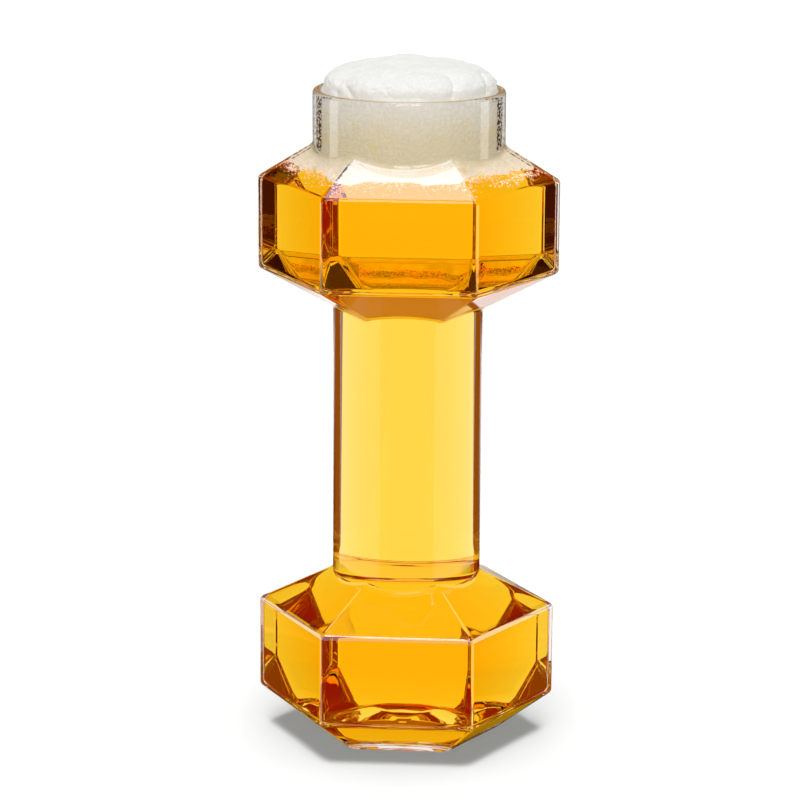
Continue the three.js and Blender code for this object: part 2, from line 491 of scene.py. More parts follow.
@dataclass(frozen=True)
class Waves:
    """Smooth random lumps: a mean of cosine waves of random direction, length and phase.

    Attributes:
        shortest: Shortest wavelength, in mm.
        longest: Longest wavelength, in mm.
        count: Number of waves.
        seed: Seed of the random draws.
    """

    shortest: float
    longest: float
    count: int
    seed: int

    def at(self, points: np.ndarray) -> np.ndarray:
        """Values of about -1 to 1.

        Args:
            points: Array of any shape x 3, in mm.

        Returns:
            One value for each point.
        """
        draw = np.random.default_rng(self.seed)
        way = unit(draw.normal(size=(self.count, 3)))
        length = draw.uniform(self.shortest, self.longest, self.count)
        phase = draw.uniform(0, 2 * math.pi, self.count)
        swing = np.cos(points @ (way * (2 * math.pi / length)[:, None]).T + phase)
        return swing.sum(-1) / math.sqrt(self.count / 2) / 2


def cells(across: np.ndarray, up: np.ndarray, around_count: int, seed: int) -> np.ndarray:
    """Distance to the nearest of scattered points, one in each square of a grid that closes round.

    Args:
        across: Position round the axis, in squares, from 0 to the count.
        up: Position along the outline, in squares.
        around_count: Number of squares round the axis.
        seed: Seed of the random draws.

    Returns:
        Distances, in squares.
    """
    tall = int(np.ceil(up.max())) + 3
    margin = 0.12
    shift = np.random.default_rng(seed).uniform(margin, 1 - margin, (around_count, tall, 2))
    column, row = np.floor(across).astype(int), np.floor(up).astype(int)
    nearest = np.full(np.broadcast(across, up).shape, np.inf)
    for side, rise in itertools.product((-1, 0, 1), repeat=2):
        square, storey = column + side, row + rise
        place = shift[square % around_count, (storey + 1) % tall]
        gap = np.hypot(square + place[..., 0] - across, storey + place[..., 1] - up)
        nearest = np.minimum(nearest, gap)
    return nearest


def clear_surface(
    tree: bpy.types.NodeTree, ior: float, tint: str, gleam: float, grazing: float, normal: dict
) -> bpy.types.Node:
    """Add a clear stuff's surface: bent light, and a mirror image that comes up at a grazing look.

    Args:
        tree: Node tree that takes the nodes.
        ior: Refractive index.
        tint: Colour of the light bent through it.
        gleam: Share mirrored at a steep look.
        grazing: Plain Fresnel share above which the mirror image comes up.
        normal: Link to the surface's unevenness, or an empty one.

    Returns:
        The mixed shader.
    """
    fresnel = add_node(tree, "Fresnel", {"IOR": ior}, normal)
    span = {"From Min": grazing, "From Max": 1.0, "To Min": gleam, "To Max": 1.0}
    share = add_node(tree, "MapRange", span, {"Value": fresnel})
    through = {"Color": linear(tint), "IOR": ior, "Roughness": 0.0}
    bent = add_node(tree, "BsdfRefraction", through, normal)
    mirror = add_node(tree, "BsdfGlossy", {"Color": linear("FFFFFF"), "Roughness": 0.0}, normal)
    clear = add_node(tree, "MixShader", links={0: share, 1: bent, 2: mirror})
    depth = add_node(tree, "LightPath").outputs["Ray Depth"]
    trapped = add_node(tree, "Math", {1: TRAPPED_DEPTH}, {0: depth}, operation="GREATER_THAN")
    ember = add_node(tree, "Emission", {"Color": linear(TRAPPED_BROWN)})
    return add_node(tree, "MixShader", links={0: trapped, 1: clear, 2: ember})


@dataclass(frozen=True)
class ClearGlass:
    """Blown soda-lime glass, fire-polished.

    Attributes:
        name: The material's name.
        tint: Colour of the light that comes through.
        ior: Refractive index.
        ripple: Wavelength of the mould's faint unevenness, in mm.
        depth: Depth of that unevenness, in mm, of which the bump takes a small share.
        gleam: Share mirrored at a steep look.
        grazing: Plain Fresnel share above which the mirror image comes up.
        caught: Strength of a painted glow that the glass gives off itself, a painted highlight on edges.
        caught_colour: Colour of that painted glow.
    """

    # To the eye: no colour of its own, only what it bends and mirrors, a little wavy as blown glass is.
    name: str = "blown_soda_lime_glass"
    tint: str = "FFFFFF"
    ior: float = 1.5
    ripple: float = 38.0
    depth: float = 0.4
    gleam: float = 0.04
    grazing: float = 0.04
    caught: float = 0.0
    caught_colour: str = "FFE8B8"

    def material(self) -> bpy.types.Material:
        """Make the material: clear all through, its faces as uneven as a blowing mould leaves them.

        Returns:
            The material.
        """
        material, tree = blank_material(self.name)
        place = add_node(tree, "TexCoord").outputs["Object"]
        coarse = {"Scale": 1 / (self.ripple * MM), "Detail": 1.0}
        uneven = add_node(tree, "TexNoise", coarse, {"Vector": place})
        faint = {"Strength": 0.02, "Distance": self.depth * MM}
        wavy = add_node(tree, "Bump", faint, {"Height": uneven})
        surface = clear_surface(tree, self.ior, self.tint, self.gleam, self.grazing, {"Normal": wavy})
        # Painted highlight: an even glow of the glass's own, as strong as caught, on edges where it is set.
        edge_light = {"Color": linear(self.caught_colour), "Strength": self.caught}
        stray = add_node(tree, "Emission", edge_light)
        both = add_node(tree, "AddShader", links={0: surface, 1: stray})
        add_node(tree, "OutputMaterial", links={"Surface": both})
        return material


@dataclass(frozen=True)
class AmberLager:
    """Filtered lager.

    Attributes:
        name: The material's name.
        ior: Refractive index.
        kept: Colour of the light kept per step of depth.
        density: Steps of depth per metre.
        grazing: Plain Fresnel share above which the mirror image comes up.
    """

    # To the eye: clear, pale gold where it is thin and deep amber where it is thick.
    name: str = "filtered_amber_lager"
    ior: float = 1.34
    kept: str = "FFF02C"
    density: float = 73.9
    grazing: float = 0.5

    def material(self) -> bpy.types.Material:
        """Make the material: clear at its surface, with absorption per metre of depth inside.

        Returns:
            The material.
        """
        material, tree = blank_material(self.name)
        surface = clear_surface(tree, self.ior, "FFFFFF", 0.0, self.grazing, {})
        gold = {"Color": linear(self.kept), "Density": self.density}
        depth = add_node(tree, "VolumeAbsorption", gold)
        add_node(tree, "OutputMaterial", links={"Surface": surface, "Volume": depth})
        return material


@dataclass(frozen=True)
class LitFoam:
    """The foam's underside in the beer, which daylight reaches down through the foam.

    Attributes:
        name: The material's name.
        glow: Colour of the light that comes out below.
        patch: Size of its thicker and thinner patches, in mm.
        least: Strength under the thickest foam.
        most: Strength under the thinnest foam.
    """

    # To the eye: a warm, patchy glow that lights the beer from above.
    name: str = "foam_lit_through"
    glow: str = "FFF9BC"
    patch: float = 5.0
    least: float = 0.85
    most: float = 1.1

    def material(self) -> bpy.types.Material:
        """Make the material: a warm glow, patchy where the foam is thicker or thinner.

        Returns:
            The material.
        """
        material, tree = blank_material(self.name)
        place = add_node(tree, "TexCoord").outputs["Object"]
        fine = {"Scale": 1 / (self.patch * MM), "Detail": 3.0}
        patchy = add_node(tree, "TexNoise", fine, {"Vector": place})
        span = {"From Min": 0.3, "From Max": 0.7, "To Min": self.least, "To Max": self.most}
        level = add_node(tree, "MapRange", span, {"Value": patchy})
        light = add_node(tree, "Emission", {"Color": linear(self.glow)}, {"Strength": level})
        add_node(tree, "OutputMaterial", links={"Surface": light})
        return material


@dataclass(frozen=True)
class BeerFoam:
    """Fresh beer foam.

    Attributes:
        name: The material's name.
        crown: Colour above the rim.
        neck: Colour behind the neck's glass.
        wet: Colour at the lower edge: wet foam, with a peach tint that paints in the amber light coming up
            through the beer.
        blotch: Colour of the blotches where beer still drains.
        levels: Heights of wet edge, lower and upper end of the neck's colour, and crown, in mm.
        sway: How far the colours' borders wander up and down, in mm.
        sway_length: Wavelength of that wandering, in mm.
        spot: Spacing of the blotches, in mm.
        bubble: Spacing of the bubbles, in mm; real ones are finer, and too fine to show.
        relief: Depth of the clefts between bubbles, in mm.
        glow: Light scattered inside the foam, as a share of its colour.
    """

    # To the eye: matt and near white on top, a wet beige near the beer with painted amber light in it, and
    # beer-coloured blotches on the glass.
    name: str = "draining_beer_foam"
    crown: str = "C5C5C2"
    neck: str = "B9AF93"
    wet: str = "DDCAB4"
    blotch: str = "BFA35A"
    levels: tuple[float, float, float, float] = (183.0, 189.0, 195.0, 211.0)
    sway: float = 5.0
    sway_length: float = 7.0
    spot: float = 6.5
    bubble: float = 0.7
    relief: float = 0.2
    glow: float = 0.4

    def material(self) -> bpy.types.Material:
        """Make the material: colour by height, with bubbles as bump and as painted shade in their clefts.

        Returns:
            The material.
        """
        material, tree = blank_material(self.name)
        place = add_node(tree, "TexCoord").outputs["Object"]
        height = add_node(tree, "SeparateXYZ", links={0: place}).outputs["Z"]
        ragged = self.ragged_height(tree, place, height)
        bubbles = add_node(tree, "TexVoronoi", {"Scale": 1 / (self.bubble * MM)}, {"Vector": place})
        plain = self.blotched(tree, place, height, self.colour_by_height(tree, ragged))
        colour = self.shade_clefts(tree, plain, bubbles, ragged)
        shallow = {"Strength": 0.12, "Distance": self.relief * MM}
        bump = add_node(tree, "Bump", shallow, {"Height": bubbles}, invert=True)
        matt = {"Roughness": 0.75, "IOR": 1.33, "Specular IOR Level": 0.0, "Emission Strength": self.glow}
        feeds = {"Base Color": colour, "Emission Color": colour, "Normal": bump}
        shader = add_node(tree, "BsdfPrincipled", matt, feeds)
        add_node(tree, "OutputMaterial", links={"Surface": shader})
        return material

    def ragged_height(
        self, tree: bpy.types.NodeTree, place: bpy.types.NodeSocket, height: bpy.types.NodeSocket
    ) -> bpy.types.Node:
        """Let the height wander, so that no border between colours is level.

        Args:
            tree: Node tree that takes the nodes.
            place: Object coordinates.
            height: Plain height, in metres.

        Returns:
            Node with the wandering height, in metres.
        """
        fine = {"Scale": 1 / (self.sway_length * MM), "Detail": 3.0}
        noise = add_node(tree, "TexNoise", fine, {"Vector": place})
        reach = {1: self.sway * MM, 2: -self.sway / 2 * MM}
        stray = add_node(tree, "Math", reach, {0: noise}, operation="MULTIPLY_ADD")
        return add_node(tree, "Math", links={0: height, 1: stray}, operation="ADD")

    def colour_by_height(self, tree: bpy.types.NodeTree, height: bpy.types.Node) -> bpy.types.Node:
        """Run from the wet edge's colour over the neck's to the crown's.

        Args:
            tree: Node tree that takes the nodes.
            height: Node with the wandering height.

        Returns:
            Node with the colour.
        """
        low, high = self.levels[0], self.levels[-1]
        span = {"From Min": low * MM, "From Max": high * MM}
        share = add_node(tree, "MapRange", span, {"Value": height})
        shade = add_node(tree, "ValToRGB", links={0: share})
        stops = shade.color_ramp.elements
        stops[0].color, stops[1].color = linear(self.wet), linear(self.crown)
        for level in self.levels[1:-1]:
            stops.new((level - low) / (high - low)).color = linear(self.neck)
        return shade

    def blotched(
        self,
        tree: bpy.types.NodeTree,
        place: bpy.types.NodeSocket,
        height: bpy.types.NodeSocket,
        colour: bpy.types.Node,
    ) -> bpy.types.Node:
        """Lay beer-coloured blotches over a colour, fewer towards the crown.

        Args:
            tree: Node tree that takes the nodes.
            place: Object coordinates.
            height: Plain height, in metres.
            colour: Node with the colour below.

        Returns:
            Node with the blotched colour.
        """
        spots = add_node(tree, "TexVoronoi", {"Scale": 1 / (self.spot * MM)}, {"Vector": place})
        soft = {"From Min": 0.08, "From Max": 0.34, "To Min": 0.45, "To Max": 0.0}
        spot = add_node(tree, "MapRange", soft, {"Value": spots})
        low, high = self.levels[1] * MM, self.levels[3] * MM
        span = {"From Min": low, "From Max": high, "To Min": 1.0, "To Max": 0.0}
        below = add_node(tree, "MapRange", span, {"Value": height})
        share = add_node(tree, "Math", links={0: spot, 1: below}, operation="MULTIPLY")
        return add_node(tree, "MixRGB", {"Color2": linear(self.blotch)}, {"Fac": share, "Color1": colour})

    def shade_clefts(
        self,
        tree: bpy.types.NodeTree,
        colour: bpy.types.Node,
        bubbles: bpy.types.Node,
        height: bpy.types.Node,
    ) -> bpy.types.Node:
        """Paint shade into the clefts between bubbles, most at the wet edge.

        Args:
            tree: Node tree that takes the nodes.
            colour: Node with the colour.
            bubbles: Node with the distance from the bubbles' middles.
            height: Node with the wandering height.

        Returns:
            Node with the colour, with painted shade in the clefts.
        """
        # Painted shade: the clefts darken to this share of the colour, deepest at the wet edge.
        low, high = self.levels[0] * MM, self.levels[1] * MM
        span = {"From Min": low, "From Max": high, "To Min": 0.84, "To Max": 0.97}
        cleft = add_node(tree, "MapRange", span, {"Value": height})
        round_off = {"From Min": 0.15, "From Max": 0.75, "To Min": 1.03}
        cleft_shade = add_node(tree, "MapRange", round_off, {"Value": bubbles, "To Max": cleft})
        return add_node(tree, "VectorMath", links={0: colour, "Scale": cleft_shade}, operation="SCALE")


@dataclass
class Vessel:
    """The blown glass, in mm: two six-sided heads on a round handle, and a neck with a rounded lip.

    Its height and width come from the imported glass. Flats face +Y and -Y, corners +X and -X.
    """

    # Outside, from the foot up. Slopes are angles to the horizontal.
    foot_flat: float = 30.0 * COS30
    lower_bottom: float = 12.6
    lower_top: float = 41.8
    lower_slope: float = math.radians(28.5)
    handle: float = 23.5
    belly_slope: float = math.radians(30.5)
    upper_bottom: float = 150.4
    upper_top: float = 179.6
    shoulder_slope: float = math.radians(35.5)
    neck: float = 30.0
    edge: float = 1.8
    foot_edge: float = 1.2
    waist_edge: float = 1.5
    lip: float = 1.2
    punt: float = 20.0
    punt_depth: float = 2.5
    punt_arch: float = 65.0
    punt_edge: float = 1.5
    # Walls, and the hollow with the rounded kick of its floor.
    head_wall: float = 2.0
    handle_wall: float = 3.2
    rim_wall: float = 2.7
    base: float = 5.0
    hollow_edge: float = 1.5
    hollow_waist_edge: float = 2.0
    hollow_corner: float = 3.0
    floor_corner: float = 9.0
    bore_start: float = 20.0
    kick: float = 22.0
    kick_rise: float = 4.0
    kick_arch: float = 50.0
    kick_edge: float = 18.0
    # Share of punt and kick that is level in the middle, and widths of the blends into round parts.
    level_share: float = 0.4
    edge_blend: float = 1.4
    hollow_blend: float = 2.4
    # Longest steps between rows, and columns.
    slope_step: float = 0.64
    hollow_slope_step: float = 0.9
    base_step: float = 3.0
    bevel_step: float = 4.0
    hollow_base_step: float = 2.0
    flat_step: float = 8.0
    handle_step: float = 9.0
    neck_step: float = 5.0
    columns: int = 240
    # Rows of faces over the lip that carry its painted amber tint, rows of the lower shoulder's ridges
    # with their painted highlight, and the ridges' width to each side of an edge, in columns.
    lip_faces: tuple[int, int] = (4, 6)
    ridge_rows: int = 30
    ridge_width: int = 3
    rim: float = field(init=False)
    head_flat: float = field(init=False)
    zones: np.ndarray = field(init=False)

    def __post_init__(self) -> None:
        """Take the rim's height and the heads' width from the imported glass."""
        low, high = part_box(Slot.GLASS.node)
        self.rim = high.z / MM
        self.head_flat = (high.y - low.y) / 2 / MM

    @property
    def foot_bevel(self) -> float:
        """Angle to the horizontal of the bevels from the foot to the lower head."""
        return math.atan2(self.lower_bottom, self.head_flat - self.foot_flat)

    @property
    def bore(self) -> float:
        """Radius of the hollow in the handle."""
        return self.handle - self.handle_wall

    @property
    def mouth(self) -> float:
        """Radius of the hollow in the neck."""
        return self.neck - self.rim_wall

    @property
    def under_lip(self) -> float:
        """Level at which neck and lip meet."""
        return self.rim - 2 * self.lip

    @property
    def upper_middle(self) -> float:
        """Level in the middle of the upper head, where handle gives way to neck."""
        return (self.upper_bottom + self.upper_top) / 2

    @property
    def grip_middle(self) -> float:
        """Level in the middle of the handle, which parts the two heads."""
        return (self.lower_top + self.upper_bottom) / 2

    @staticmethod
    def slope_end(flat: float, level: float, slope: float, tube: float) -> tuple[float, float]:
        """Where a slope has run well inside the round part that it meets.

        Args:
            flat: Distance to the flat at the slope's start.
            level: Level at the slope's start.
            slope: Angle to the horizontal, negative for a slope that runs down towards the axis.
            tube: Radius of the round part.

        Returns:
            Distance to the flat and level at the slope's end.
        """
        end = tube * COS30 - OVERRUN
        return end, level + (flat - end) * math.tan(slope)

    @staticmethod
    def corner_shift(inset: float, slope: float) -> float:
        """How far a corner moves along an upright wall when wall and slope both move inwards."""
        return inset * math.tan((math.pi / 2 - slope) / 2)

    def outside_tube(self, level: np.ndarray) -> np.ndarray:
        """Radius of the round part outside: none in the foot, the handle, then the neck."""
        upper = np.where(level < self.upper_middle, self.handle, self.neck)
        return np.where(level < self.lower_bottom, 0.0, upper)

    def hollow_tube(self, level: np.ndarray) -> np.ndarray:
        """Radius of the round part of the hollow: none at the floor, the handle's bore, then the mouth."""
        upper = np.where(level < self.upper_middle, self.bore, self.mouth)
        return np.where(level < self.bore_start, 0.0, upper)

    def outside_corner(self, level: np.ndarray) -> np.ndarray:
        """Radius of the heads' upright edges."""
        return np.full_like(level, self.edge)

    def hollow_corner_at(self, level: np.ndarray) -> np.ndarray:
        """Radius of the hollow's upright corners, which open out evenly towards the floor.

        Args:
            level: Heights above the table.

        Returns:
            The radius at each.
        """
        start = self.lower_bottom + self.head_wall
        down = np.clip((start - level) / (start - self.base), 0, 1)
        return self.hollow_corner + (self.floor_corner - self.hollow_corner) * down

    def outside(self) -> Outline:
        """Outside from the middle of the punt to the lip's outer edge.

        Returns:
            The rows.
        """
        flat, edge, slope_step = self.head_flat, self.edge, self.slope_step
        waist_low = self.slope_end(flat, self.lower_top, self.lower_slope, self.handle)
        waist_high = self.slope_end(flat, self.upper_bottom, -self.belly_slope, self.handle)
        collar = self.slope_end(flat, self.upper_top, self.shoulder_slope, self.neck)
        bends = [
            Bend(0, self.punt_depth),
            Bend(self.level_share * self.punt, self.punt_depth, self.punt_arch, self.base_step),
            Bend(self.punt, 0, self.punt_edge, self.base_step),
            Bend(self.foot_flat, 0, self.foot_edge, self.base_step),
            Bend(flat, self.lower_bottom, edge, self.bevel_step),
            Bend(flat, self.lower_top, edge, self.flat_step),
            Bend(*waist_low, self.waist_edge, slope_step),
            Bend(*waist_high, self.waist_edge, self.handle_step),
            Bend(flat, self.upper_bottom, edge, slope_step),
            Bend(flat, self.upper_top, edge, self.flat_step),
            Bend(*collar, self.waist_edge, slope_step),
            Bend(collar[0], self.under_lip, 0, self.neck_step),
        ]
        return flat_outline(bends, self.outside_tube)

    def lip_round(self) -> Outline:
        """Over the lip, from below its outer edge to below its inner edge.

        Returns:
            The rows.
        """
        bends = [
            Bend(self.neck, self.under_lip),
            Bend(self.neck, self.rim, self.lip),
            Bend(self.mouth, self.rim, self.lip),
            Bend(self.mouth, self.under_lip),
        ]
        return round_outline(bends, self.mouth * COS30 - OVERRUN)

    def hollow_bends(self, grow: float = 0.0) -> list[Bend]:
        """Bends of the hollow from the middle of its floor to the collar under the neck.

        Args:
            grow: How far the hollow is moved outwards into the glass, in mm.

        Returns:
            Bends in order, rising.
        """
        inset = self.head_wall - grow
        flat = self.head_flat - inset
        bottom = self.lower_bottom + self.corner_shift(inset, self.foot_bevel)
        floor = self.base - grow
        floor_flat = flat - (bottom - floor) / math.tan(self.foot_bevel)
        lower_top = self.lower_top - self.corner_shift(inset, self.lower_slope)
        upper_bottom = self.upper_bottom + self.corner_shift(inset, self.belly_slope)
        upper_top = self.upper_top - self.corner_shift(inset, self.shoulder_slope)
        waist_low = self.slope_end(flat, lower_top, self.lower_slope, self.bore + grow)
        waist_high = self.slope_end(flat, upper_bottom, -self.belly_slope, self.bore + grow)
        collar = self.slope_end(flat, upper_top, self.shoulder_slope, self.mouth + grow)
        crown = floor + self.kick_rise
        edge, slope_step = self.hollow_edge, self.hollow_slope_step
        return [
            Bend(0, crown),
            Bend(self.level_share * self.kick, crown, self.kick_arch, self.base_step),
            Bend(self.kick, floor, self.kick_edge, self.base_step),
            Bend(floor_flat, floor, edge, self.hollow_base_step),
            Bend(flat, bottom, edge, self.hollow_base_step),
            Bend(flat, lower_top, edge, self.flat_step),
            Bend(*waist_low, self.hollow_waist_edge, slope_step),
            Bend(*waist_high, self.hollow_waist_edge, self.handle_step),
            Bend(flat, upper_bottom, edge, slope_step),
            Bend(flat, upper_top, edge, self.flat_step),
            Bend(*collar, self.waist_edge, slope_step),
        ]

    def shoulder_foot(self, grow: float = 0.0) -> Bend:
        """Bend at which the hollow's shoulder starts, the last before the collar."""
        return self.hollow_bends(grow)[-2]

    def shoulder_flat(self, level: np.ndarray | float, grow: float = 0.0) -> np.ndarray | float:
        """Distance to the hollow's flats where its shoulder passes a level."""
        foot = self.shoulder_foot(grow)
        return foot.reach - (level - foot.level) / math.tan(self.shoulder_slope)

    def hollow(self) -> Outline:
        """The hollow from the middle of its floor to below the lip's inner edge.

        Returns:
            The rows.
        """
        bends = self.hollow_bends()
        bends.append(Bend(bends[-1].reach, self.under_lip, 0, self.neck_step))
        return flat_outline(bends, self.hollow_tube)

    def build(self) -> bpy.types.Object:
        """Build the vessel as one closed surface: up the outside, over the lip and down the hollow.

        Returns:
            The vessel.
        """
        angle = sector_angles(per_sector=self.columns // 6, least_step=0.035, power=2.4)
        outside, hollow = self.outside(), self.hollow().reversed()
        outer = RingSurface(outside, self.outside_corner, self.edge_blend, angle)
        lip = RingSurface(self.lip_round(), self.outside_corner, self.edge_blend, angle)
        inner = RingSurface(hollow, self.hollow_corner_at, self.hollow_blend, angle)
        points = np.concatenate([outer.points(), lip.points()[1:], inner.points()[1:]])
        normals = np.concatenate([outer.normals(), lip.normals()[1:], inner.normals()[1:]])
        self.zones = self.glass_zones(outside, len(points), len(hollow.level))
        return ring_mesh("vessel", points, normals)

    def glass_zones(self, outside: Outline, rows: int, hollow_rows: int) -> np.ndarray:
        """Say which glass each face has.

        Args:
            outside: Rows of the outside.
            rows: Rows of the whole vessel.
            hollow_rows: Rows of the hollow, which come last.

        Returns:
            Zones of the faces between each row and the next, by columns.
        """
        zones = np.full((rows - 1, self.columns), GlassZone.POLISHED)
        zones[rows - hollow_rows :] = GlassZone.WETTED
        lip_start, lip_end = (len(outside.level) + row for row in self.lip_faces)
        zones[lip_start:lip_end] = GlassZone.LIP
        near_top = np.abs(outside.level - self.lower_top) < self.edge
        crest = np.flatnonzero(near_top & (outside.flat > self.head_flat - self.edge))
        shoulder = crest[-1] + 1
        zones[crest[0] : shoulder] = GlassZone.CREST
        sector = self.columns // 6
        column = np.arange(self.columns)
        near_edge = np.abs(column % sector - sector // 2 + 0.5) < self.ridge_width
        zones[shoulder : shoulder + self.ridge_rows, near_edge] = GlassZone.RIDGE
        # Of the upright edges, those at -X and +X stay plain glass.
        facing = near_edge & (column // sector % 3 != 0)
        upright = outside.flat > self.head_flat - SAME
        upper = outside.level > self.grip_middle
        for head in (np.flatnonzero(upright & ~upper), np.flatnonzero(upright & upper)):
            zones[head[0] : head[-1], facing] = GlassZone.RIDGE
        return zones

    def dress(self, piece: bpy.types.Object) -> None:
        """Give each zone of the vessel its glass.

        Args:
            piece: The built vessel.
        """
        glasses = {
            GlassZone.POLISHED: ClearGlass(),
            # Wet with beer on its inner side, so nothing mirrors there but at a grazing look.
            GlassZone.WETTED: ClearGlass("beer_wetted_glass", ripple=9.0, gleam=0.0, grazing=0.5),
            # Melted round in the flame; the pale brown tint of the light bent through its edge is painted,
            # standing in for amber light that the wall carries up from the beer.
            GlassZone.LIP: ClearGlass("lip_painted_beer_light", tint="F0DABF"),
            # Edges that catch light: a bright line on the lower head's top, mirrored more strongly there,
            # and pale lines at ridges, painted as a glow of the glass itself.
            GlassZone.CREST: ClearGlass("bright_crest", gleam=0.2),
            GlassZone.RIDGE: ClearGlass("ridge_painted_highlight", caught=0.2),
        }
        dress_faces(piece, [glasses[zone].material() for zone in GlassZone], self.zones)


@dataclass
class Beer:
    """The lager in the hollow, in mm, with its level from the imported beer.

    Attributes:
        vessel: The glass round it.
        grow: How far it reaches into the glass, as beer wets its wall.
        climb: How far it climbs where it meets the glass at its top.
        sag: How far the top lies below that climb.
        margin: Width of the climb.
        meniscus: Radius that rounds the climb's upper end.
        hollow_round: Radius that rounds its lower end.
        top_step: Longest step between rows of the climb.
        wander: How far the foam's lower edge wanders up and down.
        fade: Distance from that edge over which the wandering dies away in the beer.
        edge_waves: The wandering's waves.
        level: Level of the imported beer's top.
    """

    vessel: Vessel
    grow: float = 0.12
    climb: float = 0.6
    sag: float = 1.0
    margin: float = 4.0
    meniscus: float = 0.4
    hollow_round: float = 2.0
    top_step: float = 0.8
    wander: float = 0.9
    fade: float = 4.0
    edge_waves: Waves = Waves(4, 24, 30, 7)
    level: float = field(init=False)

    def __post_init__(self) -> None:
        """Take the beer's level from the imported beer."""
        self.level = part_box(Slot.BEER.node)[1].z / MM

    @property
    def edge_level(self) -> float:
        """Level up to which the beer climbs on the glass."""
        return self.level + self.climb

    def top_bends(self, grow: float, sink: float) -> list[Bend]:
        """Bends of the beer's top from the glass to the axis: it climbs a little where it meets the glass.

        Args:
            grow: How far the top reaches into the glass.
            sink: How far the whole top is lowered.

        Returns:
            Bends in order, inwards.
        """
        level = self.edge_level - sink
        edge = self.vessel.shoulder_flat(level, grow)
        return [
            Bend(edge, level, self.meniscus, self.top_step),
            Bend(edge - self.margin, level - self.sag, self.hollow_round, self.top_step),
            Bend(0, level - self.sag, 0, self.vessel.neck_step),
        ]

    def wander_edge(self, points: np.ndarray, outline: Outline, edge: int, fade: float) -> None:
        """Let the rows near the foam's lower edge rise and fall, sliding along the shoulder.

        Args:
            points: Rows x columns x 3, in mm, changed in place.
            outline: The rows.
            edge: Row that lies on the edge.
            fade: Distance from the edge over which the shift dies away.
        """
        along = run_lengths(points)
        share = np.exp(-(((along - along[edge]) / fade) ** 2))[:, None]
        turn = np.arctan2(points[edge, :, 1], points[edge, :, 0])
        flat = outline.flat[edge]
        rise = share * self.wander * self.edge_waves.at(around(flat, turn, 0.0))
        inwards = rise / math.tan(self.vessel.shoulder_slope) / flat
        points[..., :2] *= (1 - inwards)[..., None]
        points[..., 2] += rise

    def waist(self, level: np.ndarray) -> np.ndarray:
        """Radius of the beer in the handle, and none in the heads' ends."""
        inside = (level > self.vessel.bore_start) & (level < self.vessel.upper_middle)
        return np.where(inside, self.vessel.bore + self.grow, 0.0)

    def corner_at(self, level: np.ndarray) -> np.ndarray:
        """Radius of the beer's upright corners."""
        return self.vessel.hollow_corner_at(level) + self.grow

    def build(self) -> bpy.types.Object:
        """Build the beer: up the hollow's wall, and in over its top.

        Returns:
            The beer.
        """
        wall = self.vessel.hollow_bends(self.grow)[:-1]
        outline = flat_outline(wall + self.top_bends(self.grow, 0.0), self.waist)
        angle = sector_angles(per_sector=64, least_step=0.25, power=2.0)
        surface = RingSurface(outline, self.corner_at, self.vessel.hollow_blend, angle)
        points = surface.points()
        self.wander_edge(points, outline, int(np.argmax(outline.level)), self.fade)
        return ring_mesh("lager", points, surface.normals())

    def dress(self, piece: bpy.types.Object) -> None:
        """Give the beer its amber depth."""
        dress_faces(piece, [AmberLager().material()])


